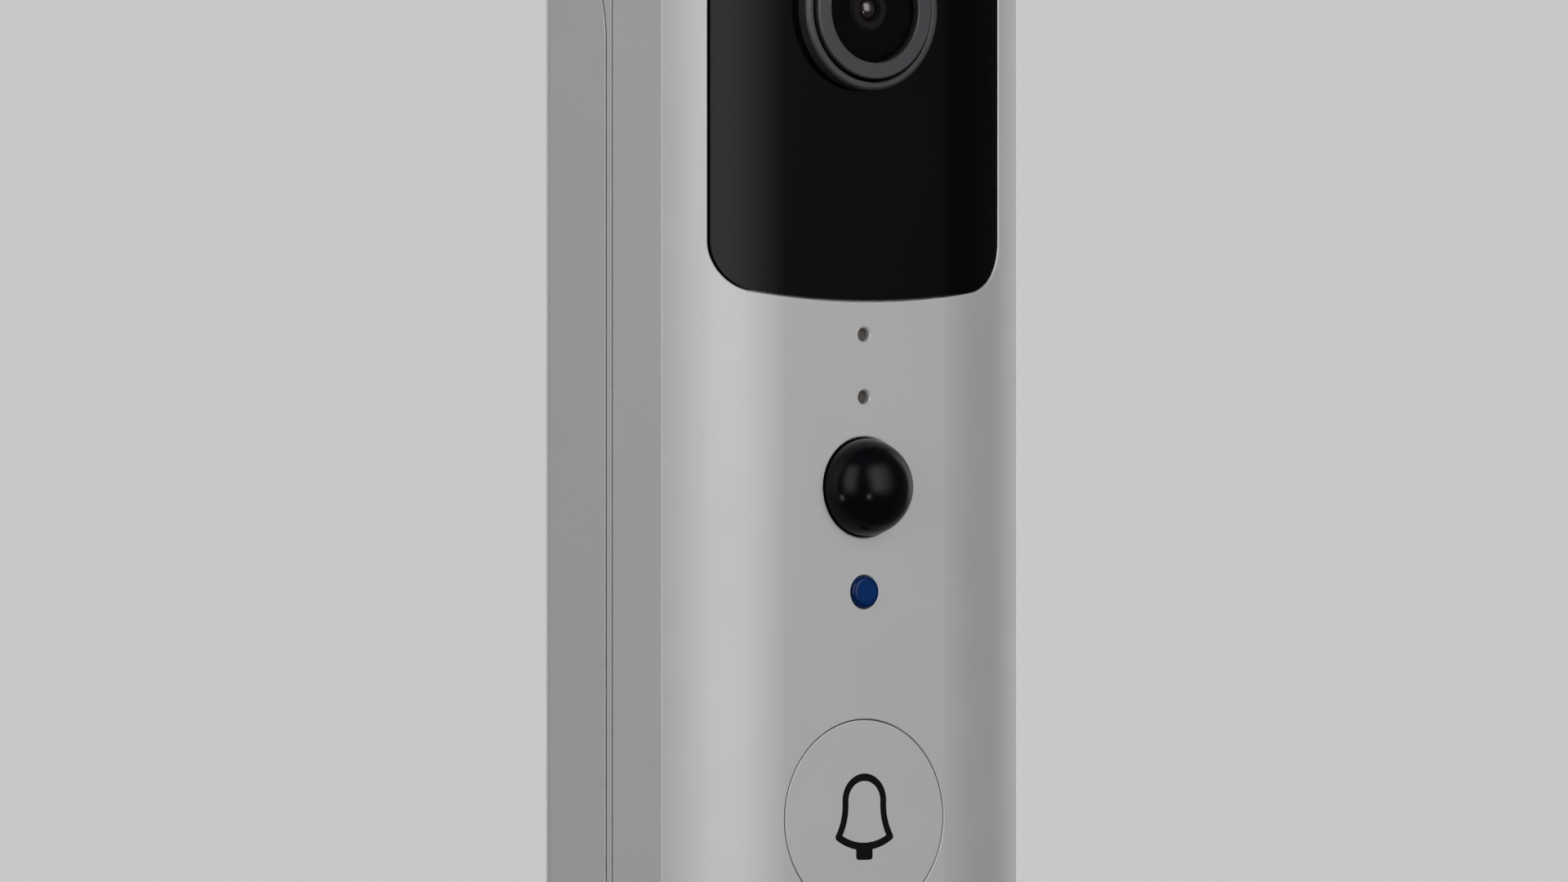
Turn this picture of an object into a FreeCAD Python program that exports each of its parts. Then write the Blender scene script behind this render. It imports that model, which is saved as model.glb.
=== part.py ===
"""Battery video doorbell: a tall silver casing with a gloss black camera window, a motion sensor dome,
a status light and a round bell button, hung on a wall cover that hooks into its back.

+X is to the right of somebody facing the doorbell, +Y points into the wall and +Z is up.
Heights are measured from the bottom edge while modelling. export() then moves the origin
to the middle of the wall face, where the wall cover meets the wall.
"""
import FreeCAD
import Part

import math
import os

# ---------------------------------------------------------------- driving dimensions, mm
WIDTH = 46.0
HEIGHT = 128.0
DEPTH = 27.0
CORNER_RADIUS = 4.0

FRONT = -DEPTH                 # the flat middle of the front
FLAT_HALF = 10.3               # half width of that flat middle
CROWN_RADIUS = 21.4            # the front curves back towards both sides at this radius
CROWN_Y = FRONT + CROWN_RADIUS
FRONT_WALL = 2.0
SIDE_WALL = 1.8
FRONT_EDGE_FILLET = 0.25
FIT_GAP = 0.1                  # between pieces that fit into each other

FRONT_SHELL_BACK = -14.15      # where the front housing ends
SEAM_GAP = 0.27                # the shadow gap between neighbouring casings
SEAM_FILLET = 0.1              # on the casing edges along both seams
FLANGE_FRONT = FRONT_SHELL_BACK + SEAM_GAP
FLANGE_BACK = -13.07
COVER_FRONT = FLANGE_BACK + SEAM_GAP
BODY_BACK = -2.0               # back of the rear housing inside the wall cover
TOP_BACK = -0.8                # back of the rear housing above the wall cover
TONGUE_FRONT = -16.5           # the rear housing's rim reaches this far into the front housing
SEAL_INSET = 0.6               # the seal sits this far inside the outer faces

COVER_WALL = 1.6
COVER_PLATE = 1.8
COVER_LIP = 2.4
COVER_ARC_Z = 99.5             # the wall cover's sides round off above this height
COVER_ARC_RADIUS = -COVER_FRONT
BACK_FILLET = 3.0
BODY_CLEARANCE = 0.4
BODY_HALF = WIDTH / 2 - COVER_WALL - BODY_CLEARANCE
BODY_BOTTOM = COVER_LIP + 0.2
BODY_TOP = 120.0
BODY_WALL = 1.4                # the rear housing's side walls inside the wall cover
BODY_CORNER = 2.5
REAR_WALL = 1.6
CAMERA_ROOM_TOP = HEIGHT - 3.3
CAMERA_ROOM_STEP = 114.0       # the compartment is deeper above this height
LIFT_TRAVEL = 4.0              # how far the doorbell lifts to come off the hooks

WINDOW_HALF = 18.7
WINDOW_BOTTOM = 72.2
WINDOW_TOP = 123.6
WINDOW_SAG_RADIUS = 100.0      # the window's lower edge is a shallow arc
WINDOW_CORNER = 5.3
WINDOW_TOP_CORNER = 4.0
WINDOW_GAP = 0.12              # between the window panel and its recess
WINDOW_RIM_FILLET = 0.25       # on the casing edge round the window
WINDOW_THICK = 1.2
WINDOW_LEDGE = 1.6
ADHESIVE_THICK = 0.1

LENS_Z = 102.6
BEZEL_RADIUS = 8.5
BEZEL_BORE = 7.6
BEZEL_SLEEVE = 8.0
BEZEL_FRONT = FRONT - 1.5
BEZEL_BACK = FRONT + 1.8
TRIM_RADIUS = 7.33
TRIM_BORE = 5.6
TRIM_FRONT = FRONT - 1.94
TRIM_BACK = FRONT + 1.4
GLASS_BACK = FRONT - 1.15
GLASS_EDGE = 0.45              # thickness at the cover glass's rim, and at its middle
GLASS_MIDDLE = 0.65
BARREL_RADIUS = 6.0
BARREL_NECK = 5.5              # the barrel is a little slimmer inside the trim ring
BARREL_SHOULDER = FRONT - 0.9
BARREL_BORE = 3.0
BORE_FRONT = FRONT + 5.0
CONE_MOUTH = 5.1               # radius of the black cone behind the glass
CONE_FLOOR = 2.3               # and where it meets the small ring round the first lens
CONE_FLOOR_DROP = 0.4
BARREL_LIP = FRONT - 1.0       # front of the small ring that holds the first lens
ELEMENT_RADIUS = 2.05          # the first lens's rim, behind that ring
ELEMENT_SEAT = FRONT - 0.15
ELEMENT_DOME_RADIUS = 1.45     # the first lens is nearly a half ball
ELEMENT_DOME_HALF = 1.35
ELEMENT_TIP = FRONT - 1.08
BARREL_INSERT = 2.4            # the barrel goes this far into its holder
HOLDER_HALF = 8.0
HOLDER_FRONT = -16.0
CAMERA_BOARD_FRONT = -9.0
CAMERA_BOARD_BACK = -8.0
CAMERA_RIB_SPREAD = 8.7        # the ribs behind the camera board, above and below the lens
CAMERA_SCREW_OFFSET = 6.4
FILTER_FRONT = -11.6
FILTER_THICK = 1.0
FILTER_HALF_HEIGHT = 3.4
COIL_X = 9.9
SENSOR_HALF = 3.2
SENSOR_HALF_HEIGHT = 2.6
FILTER_TRAVEL = 4.6            # slides one filter away and the other in front of the sensor

LIGHT_SENSOR_Z = 68.75
MICROPHONE_Z = 62.25
PORT_RADIUS = 0.72
PORT_BEVEL = 0.18
PIR_Z = 52.9
PIR_RADIUS = 5.1
PIR_WALL = 0.7
PIR_FLANGE = 0.8               # thickness of the dome's flange
PIR_CAN_RADIUS = 4.1
PIR_CAN_HEIGHT = 1.8
STATUS_Z = 42.0
STATUS_RADIUS = 1.7

BUTTON_Z = 18.5
BUTTON_RADIUS = 10.2
BUTTON_GAP = 0.12
BUTTON_RIM_FILLET = 0.1
BUTTON_FLANGE = 10.95
BUTTON_BACK = FRONT + FRONT_WALL + 0.7
BUTTON_TRAVEL = 0.5
PLUNGER_RADIUS = 1.1
ICON_DEPTH = 0.4
ICON_LINE = 0.8

BOARD_FRONT = -23.1            # component side of the main board
BOARD_BACK = -22.1
PORT_CHIP_FRONT = BOARD_FRONT - 1.1    # front of the microphone and of the light sensor
INFRARED_BOARD_FRONT = BOARD_FRONT - 0.1
INFRARED_BOARD_BACK = BOARD_BACK - 0.3
BAY_FLOOR = -20.9
BAY_FLOOR_THICK = 1.0
BAY_HALF = 19.3
BAY_LOW = 14.5
BAY_HIGH = 85.5
BAY_WALL = 1.5
BAY_SIDE_WALL = 1.0
BAY_CHAMFER = 1.6
CELL_RADIUS = 9.2
CELL_X = 9.45
CELL_Y = -11.5
CELL_LENGTH = 64.2
CELL_NUB = 1.0
CELL_REST = 4.6                # from the bay's wall to a cell's negative end, with the spring between
PLATE_THICK = 0.4
PLATE_HALF = 6.0
SPRING_WIRE = 0.3              # radius of the wire
SPRING_COIL = 3.4              # radius of the coil

SPEAKER_SLOTS = (-6.0, -3.0, 0.0, 3.0, 6.0)
SPEAKER_SLOT_HALF = 0.6
SPEAKER_SLOT_DEPTHS = (-22.6, -19.0)
SPEAKER_HALF = 8.0
SPEAKER_DEPTHS = (-24.6, -17.0)
SPEAKER_LOW = 2.3
SPEAKER_HIGH = 5.6
SPEAKER_RIM = 0.7              # the frame's wall round the diaphragm

HOUSING_SCREW_X = 17.5
HOUSING_SCREW_HEIGHTS = (8.0, 106.0)
HOUSING_SCREW_SEAT = -12.3
HOUSING_SCREW_TIP = -20.5      # where the pilot hole in the front housing ends
BOARD_SCREWS = ((12.5, 9.6), (15.0, 70.0))
BOSS_ROOT = 0.4                # screw bosses start this far inside the wall they stand on
HOOK_X = 11.0
HOOK_HEIGHTS = (9.2, 101.5)
HOOK_HALF = 2.0
HOOK_STUB_HALF = 0.75          # half height of the hook's stub
HOOK_LIP_RISE = 2.0            # the lip stands this far above the stub
WALL_HOLE_HEIGHTS = (14.0, 104.0)
WALL_HOLE_RADIUS = 2.1
WALL_HOLE_SINK = 1.1           # countersink depth
WIRE_HOLE_RADIUS = 3.5
LABEL_HALF = 15.0              # a shallow recess for the rating label, in the wall cover's back
LABEL_HEIGHTS = (23.0, 55.0)
LABEL_DEPTH = 0.3
PAD_HALF = 15.0                # the foam pad on the wall cover that keeps the cells still
PAD_HEIGHTS = (30.0, 70.0)
PAD_THICK = 0.4
TERMINAL_Z = 90.1
TERMINAL_HALF = 2.5            # half height of the terminal block
TERMINAL_BLOCK_HALF = 9.5
TERMINAL_XS = (-5.0, 5.0)
TERMINAL_FACE = -4.4
TERMINAL_HOLE_RADIUS = 1.25
WASHER_THICK = 0.1
SECURITY_Y = -7.0
SECURITY_BOSS_TOP = 11.5       # of the rear housing's boss round the security screw
SECURITY_SHANK = 1.45
SECURITY_HEAD = 2.6
SECURITY_SEAT = 1.5            # the head's upper face, in the wall cover's lip
USB_X = -15.0
USB_HALF = 3.9
USB_HALF_HEIGHT = 1.5
RESET_X = 15.0
RESET_RADIUS = 1.7
FRAME_SHIFT = FreeCAD.Vector(0, 0, -HEIGHT / 2)

FAR = 200.0                    # longer than the object, for cutting right through


# ---------------------------------------------------------------- shape helpers
def vec(x, y, z):
    return FreeCAD.Vector(x, y, z)


def block(xs, ys, zs):
    """A box between three pairs of limits."""
    corner = vec(xs[0], ys[0], zs[0])
    return Part.makeBox(xs[1] - xs[0], ys[1] - ys[0], zs[1] - zs[0], corner)


def rod(radius, ys, x, z):
    """A cylinder along Y."""
    return Part.makeCylinder(radius, ys[1] - ys[0], vec(x, ys[0], z), vec(0, 1, 0))


def post(radius, zs, x, y):
    """A cylinder along Z."""
    return Part.makeCylinder(radius, zs[1] - zs[0], vec(x, y, zs[0]), vec(0, 0, 1))


def tube(outer, inner, ys, x, z):
    return rod(outer, ys, x, z).cut(rod(inner, ys, x, z))


def countersink(radius, depth, z, y):
    """A 45 degree cone that narrows to radius as it goes back from y, on the middle line."""
    return Part.makeCone(radius + depth, radius, depth, vec(0, y, z), vec(0, 1, 0))


def joined(shapes):
    """Shapes that touch or overlap, as one solid."""
    return shapes[0].fuse(shapes[1:]).removeSplitter()


def group(shapes):
    """Shapes that stay separate solids in one node."""
    return Part.makeCompound(shapes)


def along_y(edge):
    """True for a straight edge that runs front to back."""
    ends = edge.Vertexes
    if len(ends) != 2 or not isinstance(edge.Curve, Part.Line):
        return False
    way = ends[1].Point - ends[0].Point
    return abs(way.x) + abs(way.z) < 1e-6


def in_plane_y(edge, y):
    return all(abs(vertex.Y - y) < 1e-6 for vertex in edge.Vertexes)


def slab(half_width, zs, ys, radius):
    """A rounded rectangle in front view, extruded along Y."""
    plain = block((-half_width, half_width), ys, zs)
    return plain.makeFillet(radius, [edge for edge in plain.Edges if along_y(edge)])


def turned(points, z, x=0.0):
    """A solid of revolution about the Y line through (x, z), from (radius, y) corners."""
    corners = [vec(x + radius, y, z) for radius, y in points]
    wire = Part.makePolygon(corners + corners[:1])
    return Part.Face(wire).revolve(vec(x, 0, z), vec(0, 1, 0), 360)


def rounded_rim(shape, radius, y, fillet):
    """Fillets the circular edge of that radius at depth y."""
    edges = []
    for edge in shape.Edges:
        round_edge = isinstance(edge.Curve, Part.Circle)
        if round_edge and abs(edge.Curve.Radius - radius) < 1e-3 and abs(edge.Curve.Center.y - y) < 1e-3:
            edges.append(edge)
    return shape.makeFillet(fillet, edges)


def crown_y(x, inset=0.0):
    """Depth of the front surface, or of a surface inset behind it, at a distance x from the middle."""
    beyond = max(0.0, abs(x) - FLAT_HALF)
    return CROWN_Y - math.sqrt((CROWN_RADIUS - inset) ** 2 - beyond ** 2)


def crown_prism(inset, half_width, back):
    """The curved front's cross-section, extruded over the whole height."""
    radius = CROWN_RADIUS - inset
    turn = math.asin((half_width - FLAT_HALF) / radius)
    middle_x = FLAT_HALF + radius * math.sin(turn / 2)
    middle_y = CROWN_Y - radius * math.cos(turn / 2)
    edge_y = CROWN_Y - radius * math.cos(turn)
    flat_y = FRONT + inset
    left = Part.Arc(
        vec(-half_width, edge_y, 0), vec(-middle_x, middle_y, 0), vec(-FLAT_HALF, flat_y, 0)
    )
    right = Part.Arc(vec(FLAT_HALF, flat_y, 0), vec(middle_x, middle_y, 0), vec(half_width, edge_y, 0))
    flat = Part.LineSegment(vec(-FLAT_HALF, flat_y, 0), vec(FLAT_HALF, flat_y, 0))
    right_side = Part.LineSegment(vec(half_width, edge_y, 0), vec(half_width, back, 0))
    rear = Part.LineSegment(vec(half_width, back, 0), vec(-half_width, back, 0))
    left_side = Part.LineSegment(vec(-half_width, back, 0), vec(-half_width, edge_y, 0))
    parts = [left, flat, right, right_side, rear, left_side]
    face = Part.Face(Part.Wire([part.toShape() for part in parts]))
    return face.extrude(vec(0, 0, HEIGHT))


def on_front_rim(edge):
    """True for an edge where the curved front meets the sides, and not for the two lines inside it."""
    first, last = edge.FirstParameter, edge.LastParameter
    middle = edge.valueAt((first + last) / 2)
    on_front = abs(middle.y - crown_y(middle.x)) < 1e-3
    upright = abs(edge.valueAt(first).z - edge.valueAt(last).z) > 1.0
    inside = upright and abs(abs(middle.x) - FLAT_HALF) < 1e-3
    return on_front and not inside


def on_window_rim(edge):
    """True for an edge between the curved front and the window's recess."""
    middle = edge.valueAt((edge.FirstParameter + edge.LastParameter) / 2)
    on_front = abs(middle.y - crown_y(middle.x)) < 1e-3
    within = WINDOW_BOTTOM - 0.1 < middle.z < WINDOW_TOP + 0.1
    return on_front and within and abs(middle.x) < WINDOW_HALF + 0.1


def window_prism(inset):
    """The camera window's outline, moved inwards, as a cutter that runs front to back."""
    half = WINDOW_HALF - inset
    low = WINDOW_BOTTOM + inset
    high = WINDOW_TOP - inset
    radius = WINDOW_SAG_RADIUS - inset
    side_low = low + radius - math.sqrt(radius ** 2 - half ** 2)
    near = FRONT - 4.0
    corners = [vec(half, near, side_low), vec(half, near, high), vec(-half, near, high)]
    corners.append(vec(-half, near, side_low))
    sag = Part.Arc(corners[3], vec(0, near, low), corners[0]).toShape()
    sides = [Part.LineSegment(corners[i], corners[i + 1]).toShape() for i in range(3)]
    prism = Part.Face(Part.Wire(sides + [sag])).extrude(vec(0, 12.0, 0))
    low_edges = [e for e in prism.Edges if along_y(e) and abs(e.Vertexes[0].Z - side_low) < 1e-3]
    prism = prism.makeFillet(WINDOW_CORNER - inset, low_edges)
    high_edges = [e for e in prism.Edges if along_y(e) and abs(e.Vertexes[0].Z - high) < 1e-3]
    return prism.makeFillet(WINDOW_TOP_CORNER - inset, high_edges)


def cover_side_profile(grow):
    """The wall cover's shape seen from the side, grown by a gap: straight, with a quarter round on top."""
    depth = COVER_ARC_RADIUS + grow
    wide = (-WIDTH, WIDTH)
    straight = block(wide, (-depth, FAR), (-FAR, COVER_ARC_Z))
    round_top = Part.makeCylinder(
        depth, 2 * WIDTH, vec(-WIDTH, 0, COVER_ARC_Z), vec(1, 0, 0)
    )
    return joined([straight, round_top])


def on_cover_seam(edge, depth):
    """True for an edge round the outside where the wall cover and the rear housing face each other."""
    middle = edge.valueAt((edge.FirstParameter + edge.LastParameter) / 2)
    reach = math.hypot(middle.y, max(0.0, middle.z - COVER_ARC_Z))
    inner = abs(middle.x) < 1.0 and middle.z > 1.0
    return abs(reach - depth) < 1e-3 and middle.y < -BACK_FILLET and not inner


def screw(head_radius, head_height, shank_radius, shank_length, x, y, z):
    """A screw driven towards the front, with its head's underside at depth y and a cross recess."""
    head = rod(head_radius, (y, y + head_height), x, z)
    head = rounded_rim(head, head_radius, y + head_height, 0.3 * head_height)
    shank = rod(shank_radius, (y - shank_length, y), x, z)
    arm = 0.6 * head_radius
    slot = 0.14 * head_radius
    depth = (y + 0.45 * head_height, y + head_height)
    across = block((x - arm, x + arm), depth, (z - slot, z + slot))
    upright = block((x - slot, x + slot), depth, (z - arm, z + arm))
    return joined([head, shank]).cut(across).cut(upright)


def port_heights():
    return (MICROPHONE_Z, LIGHT_SENSOR_Z)


def housing_screw_places():
    return [(side * HOUSING_SCREW_X, z) for side in (-1, 1) for z in HOUSING_SCREW_HEIGHTS]


def board_screw_places():
    return [(side * x, z) for side in (-1, 1) for x, z in BOARD_SCREWS]


def hook_places():
    return [(side * HOOK_X, z) for side in (-1, 1) for z in HOOK_HEIGHTS]


# ---------------------------------------------------------------- casings
def front_housing():
    outer = crown_prism(0, WIDTH / 2, FRONT_SHELL_BACK)
    outer = outer.common(slab(WIDTH / 2, (0, HEIGHT), (FRONT - 1, FRONT_SHELL_BACK), CORNER_RADIUS))
    outer = outer.removeSplitter()
    outer = outer.makeFillet(FRONT_EDGE_FILLET, [e for e in outer.Edges if on_front_rim(e)])
    outer = outer.makeFillet(SEAM_FILLET, [e for e in outer.Edges if in_plane_y(e, FRONT_SHELL_BACK)])

    inner_half = WIDTH / 2 - SIDE_WALL
    inner = crown_prism(FRONT_WALL, inner_half, FRONT_SHELL_BACK + 1)
    inner_heights = (SIDE_WALL, HEIGHT - SIDE_WALL)
    inner_depths = (FRONT, FRONT_SHELL_BACK + 1)
    inner = inner.common(slab(inner_half, inner_heights, inner_depths, CORNER_RADIUS - SIDE_WALL))
    shell = outer.cut(inner)

    bosses = [housing_boss(x, z) for x, z in housing_screw_places()]
    for x, z in board_screw_places():
        bosses.append(rod(1.9, (crown_y(x, FRONT_WALL) - BOSS_ROOT, BOARD_FRONT), x, z))
    shell = joined([shell] + bosses)
    for x, z in board_screw_places():
        shell = shell.cut(rod(0.8, (crown_y(x, FRONT_WALL / 2), BOARD_FRONT), x, z))

    ledge = window_prism(0).common(outer.cut(crown_prism(WINDOW_THICK + ADHESIVE_THICK, WIDTH / 2, 0)))
    shell = shell.cut(ledge)
    shell = shell.makeFillet(WINDOW_RIM_FILLET, [e for e in shell.Edges if on_window_rim(e)])
    shell = shell.cut(window_prism(WINDOW_LEDGE))
    through = (FRONT - 1, FRONT + FRONT_WALL + 0.5)
    for radius, z in (
        (BUTTON_RADIUS + BUTTON_GAP, BUTTON_Z),
        (STATUS_RADIUS + FIT_GAP / 2, STATUS_Z),
        (PIR_RADIUS + FIT_GAP, PIR_Z),
        (PORT_RADIUS, MICROPHONE_Z),
        (PORT_RADIUS, LIGHT_SENSOR_Z),
    ):
        shell = shell.cut(rod(radius, through, 0, z))
    shell = rounded_rim(shell, BUTTON_RADIUS + BUTTON_GAP, FRONT, BUTTON_RIM_FILLET)
    shell = rounded_rim(shell, PIR_RADIUS + FIT_GAP, FRONT, fillet=0.25)
    shell = rounded_rim(shell, STATUS_RADIUS + FIT_GAP / 2, FRONT, fillet=0.15)
    for z in port_heights():
        shell = shell.cut(countersink(PORT_RADIUS, PORT_BEVEL, z, FRONT))
    for x in SPEAKER_SLOTS:
        shell = shell.cut(speaker_slot(x))
    return shell


def housing_boss(x, z):
    """A boss in the front housing, with the pilot hole that a housing screw cuts its thread in."""
    boss = rod(2.0, (crown_y(x, FRONT_WALL) - BOSS_ROOT, FLANGE_FRONT - FIT_GAP), x, z)
    return boss.cut(rod(1.0, (HOUSING_SCREW_TIP, FLANGE_FRONT), x, z))


def speaker_slot(x):
    """One of the rounded sound slots in the bottom wall."""
    half = SPEAKER_SLOT_HALF
    zs = (-1, SIDE_WALL + 0.1)
    slot = block((x - half, x + half), SPEAKER_SLOT_DEPTHS, zs)
    ends = [post(half, zs, x, y) for y in SPEAKER_SLOT_DEPTHS]
    return joined([slot] + ends)


def housing_seal():
    depths = (FRONT_SHELL_BACK, FLANGE_FRONT)
    outer, inner = [
        slab(WIDTH / 2 - inset, (inset, HEIGHT - inset), depths, CORNER_RADIUS - inset)
        for inset in (SEAL_INSET, SIDE_WALL)
    ]
    return outer.cut(inner)


def rear_housing_outside():
    """The flange between the seams, the body inside the wall cover, the rim and the bay, all solid."""
    full = slab(WIDTH / 2, (0, HEIGHT), (FLANGE_FRONT, TOP_BACK), CORNER_RADIUS)
    full = full.makeFillet(BACK_FILLET, [e for e in full.Edges if in_plane_y(e, TOP_BACK)])
    full = full.makeFillet(SEAM_FILLET, [e for e in full.Edges if in_plane_y(e, FLANGE_FRONT)])
    full = full.cut(cover_side_profile(SEAM_GAP))
    seam_depth = COVER_ARC_RADIUS + SEAM_GAP
    full = full.makeFillet(SEAM_FILLET, [e for e in full.Edges if on_cover_seam(e, seam_depth)])

    body = slab(BODY_HALF, (BODY_BOTTOM, BODY_TOP), (FLANGE_FRONT, BODY_BACK), BODY_CORNER)
    inset = SIDE_WALL + FIT_GAP
    tongue_depths = (TONGUE_FRONT, FLANGE_FRONT + 1)
    tongue = slab(WIDTH / 2 - inset, (inset, HEIGHT - inset), tongue_depths, CORNER_RADIUS - inset)
    bay_front = BAY_FLOOR - BAY_FLOOR_THICK
    bay_half = BAY_HALF + BAY_SIDE_WALL
    bay_zs = (BAY_LOW - BAY_WALL, BAY_HIGH + BAY_WALL)
    bay = block((-bay_half, bay_half), (bay_front, FLANGE_FRONT + 1), bay_zs)
    upright = [
        e for e in bay.Edges
        if in_plane_y(e, bay_front) and abs(e.Vertexes[0].X - e.Vertexes[1].X) < 1e-6
    ]
    return joined([full, body, tongue, bay.makeChamfer(BAY_CHAMFER, upright)])


def rear_housing_rooms():
    """The hollows: the screw room at the bottom, the battery bay and the camera compartment."""
    half = BODY_HALF - BODY_WALL
    front = TONGUE_FRONT - 1
    body_inside = BODY_BACK - REAR_WALL
    above_bay = BAY_HIGH + BAY_WALL
    top_room = slab(half, (CAMERA_ROOM_STEP - 6, CAMERA_ROOM_TOP), (front, TOP_BACK - REAR_WALL), 2.0)
    step = block((-half, half), (body_inside, 0), (above_bay, CAMERA_ROOM_STEP))
    return [
        block((-half, half), (front, body_inside), (BODY_BOTTOM + 1.5, BAY_LOW - BAY_WALL)),
        block((-half, half), (front, body_inside), (above_bay, CAMERA_ROOM_STEP - 2)),
        top_room.cut(step),
        block((-BAY_HALF, BAY_HALF), (BAY_FLOOR, 0), (BAY_LOW, BAY_HIGH)),
    ]


def rear_housing_posts():
    """Columns round the screws, and the posts and ribs that hold the boards."""
    posts = [rod(3.4, (FLANGE_FRONT, BODY_BACK), x, z) for x, z in housing_screw_places()]
    posts.append(post(3.2, (BODY_BOTTOM, SECURITY_BOSS_TOP), 0, SECURITY_Y))
    board_x, board_z = BOARD_SCREWS[1]
    for side in (-1, 1):
        posts.append(rod(2.9, (BAY_FLOOR - 0.5, BAY_FLOOR + 0.3), side * board_x, board_z))
        posts.append(rod(2.0, (INFRARED_BOARD_BACK, TOP_BACK - 0.5), side * 12.0, 117.5))
        posts.append(rod(1.5, (INFRARED_BOARD_BACK, BODY_BACK - 0.5), side * 13.4, 94.6))
    for z in (LENS_Z - CAMERA_RIB_SPREAD, LENS_Z + CAMERA_RIB_SPREAD):
        posts.append(block((-7.0, 7.0), (CAMERA_BOARD_BACK, BODY_BACK - 0.5), (z - 0.7, z + 0.7)))
    return posts


def rear_housing_openings():
    """Screw and hook holes, and the openings for the terminals, the socket and the reset button."""
    openings = []
    for x, z in housing_screw_places():
        openings.append(rod(2.2, (HOUSING_SCREW_SEAT, 0), x, z))
        openings.append(rod(1.1, (TONGUE_FRONT, 0), x, z))
    half = HOOK_HALF + 0.3
    for x, z in hook_places():
        zs = (z - LIFT_TRAVEL - 1.0, z + HOOK_STUB_HALF + FIT_GAP)
        openings.append(block((x - half, x + half), (BODY_BACK - REAR_WALL, 0), zs))
    board_x, board_z = BOARD_SCREWS[1]
    for side in (-1, 1):
        openings.append(rod(2.3, (BAY_FLOOR - BAY_FLOOR_THICK, BAY_FLOOR - 0.2), side * board_x, board_z))
    openings.append(post(1.5, (0, SECURITY_BOSS_TOP - 0.9), 0, SECURITY_Y))

    through = (-5, 0)
    wide = USB_HALF + 0.4
    tall = USB_HALF_HEIGHT + 0.3
    openings.append(block((USB_X - wide, USB_X + wide), through, (TERMINAL_Z - tall, TERMINAL_Z + tall)))
    openings.append(rod(RESET_RADIUS + FIT_GAP, through, RESET_X, TERMINAL_Z))
    wide = TERMINAL_BLOCK_HALF + 0.3
    tall = TERMINAL_HALF + 0.2
    openings.append(block((-wide, wide), through, (TERMINAL_Z - tall, TERMINAL_Z + tall)))
    return openings


def rear_housing():
    shell = rear_housing_outside()
    for room in rear_housing_rooms():
        shell = shell.cut(room)
    shell = joined([shell] + rear_housing_posts())
    for opening in rear_housing_openings():
        shell = shell.cut(opening)
    return shell


def cover_hook(x, z):
    """A stub with a lip that points up behind the rear housing's back wall."""
    xs = (x - HOOK_HALF, x + HOOK_HALF)
    lip_front = BODY_BACK - REAR_WALL - 1.4
    low, high = z - HOOK_STUB_HALF, z + HOOK_STUB_HALF
    stub = block(xs, (lip_front, -COVER_PLATE + 0.2), (low, high))
    lip = block(xs, (lip_front, lip_front + 1.2), (low, high + HOOK_LIP_RISE))
    return joined([stub, lip])


def rear_cover():
    outer = slab(WIDTH / 2, (0, HEIGHT + 20), (COVER_FRONT, 0), CORNER_RADIUS)
    outer = outer.makeFillet(BACK_FILLET, [e for e in outer.Edges if in_plane_y(e, 0)])
    outer = outer.common(cover_side_profile(0)).removeSplitter()
    outer = outer.makeFillet(SEAM_FILLET, [e for e in outer.Edges if on_cover_seam(e, COVER_ARC_RADIUS)])
    hollow_half = WIDTH / 2 - COVER_WALL
    depths = (COVER_FRONT - 1, -COVER_PLATE)
    hollow = slab(hollow_half, (COVER_LIP, HEIGHT + 20), depths, CORNER_RADIUS - COVER_WALL)
    cover = joined([outer.cut(hollow)] + [cover_hook(x, z) for x, z in hook_places()])

    through = (-COVER_PLATE - 1, 1)
    for x, z in hook_places():
        zs = (z + HOOK_STUB_HALF, z + HOOK_STUB_HALF + HOOK_LIP_RISE)
        cover = cover.cut(block((x - HOOK_HALF, x + HOOK_HALF), (-COVER_PLATE - 0.1, 1), zs))
    for z in WALL_HOLE_HEIGHTS:
        cover = cover.cut(rod(WALL_HOLE_RADIUS, through, 0, z))
        cover = cover.cut(countersink(WALL_HOLE_RADIUS, WALL_HOLE_SINK, z, -COVER_PLATE))
    cover = cover.cut(rod(WIRE_HOLE_RADIUS, through, 0, TERMINAL_Z))
    cover = cover.cut(slab(LABEL_HALF, LABEL_HEIGHTS, (-LABEL_DEPTH, 1), 2.0))
    cover = cover.cut(post(SECURITY_SHANK + 0.25, (-1, COVER_LIP + 1), 0, SECURITY_Y))
    return cover.cut(post(SECURITY_HEAD + 0.3, (-1, SECURITY_SEAT), 0, SECURITY_Y))


def battery_pad():
    return slab(PAD_HALF, PAD_HEIGHTS, (-COVER_PLATE - PAD_THICK, -COVER_PLATE), 3.0)


def security_screw():
    """A small screw driven upwards, with a six-pointed recess in its head."""
    shank_top = 9.8
    head = post(SECURITY_HEAD, (0.15, SECURITY_SEAT), 0, SECURITY_Y)
    shank = post(SECURITY_SHANK, (SECURITY_SEAT - 0.1, shank_top), 0, SECURITY_Y)
    tip = Part.makeCone(SECURITY_SHANK, 0.8, 0.6, vec(0, SECURITY_Y, shank_top), vec(0, 0, 1))
    recess_depth = 0.95
    recess = [post(0.95, (0, recess_depth), 0, SECURITY_Y)]
    for turn in range(3):
        spoke = block((-1.6, 1.6), (-0.3, 0.3), (0, recess_depth))
        spoke.rotate(vec(0, 0, 0), vec(0, 0, 1), 60 * turn)
        spoke.translate(vec(0, SECURITY_Y, 0))
        recess.append(spoke)
    return joined([head, shank, tip]).cut(joined(recess))


def housing_screws():
    return group([screw(1.9, 1.3, 0.95, 7.0, x, HOUSING_SCREW_SEAT, z) for x, z in housing_screw_places()])


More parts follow.
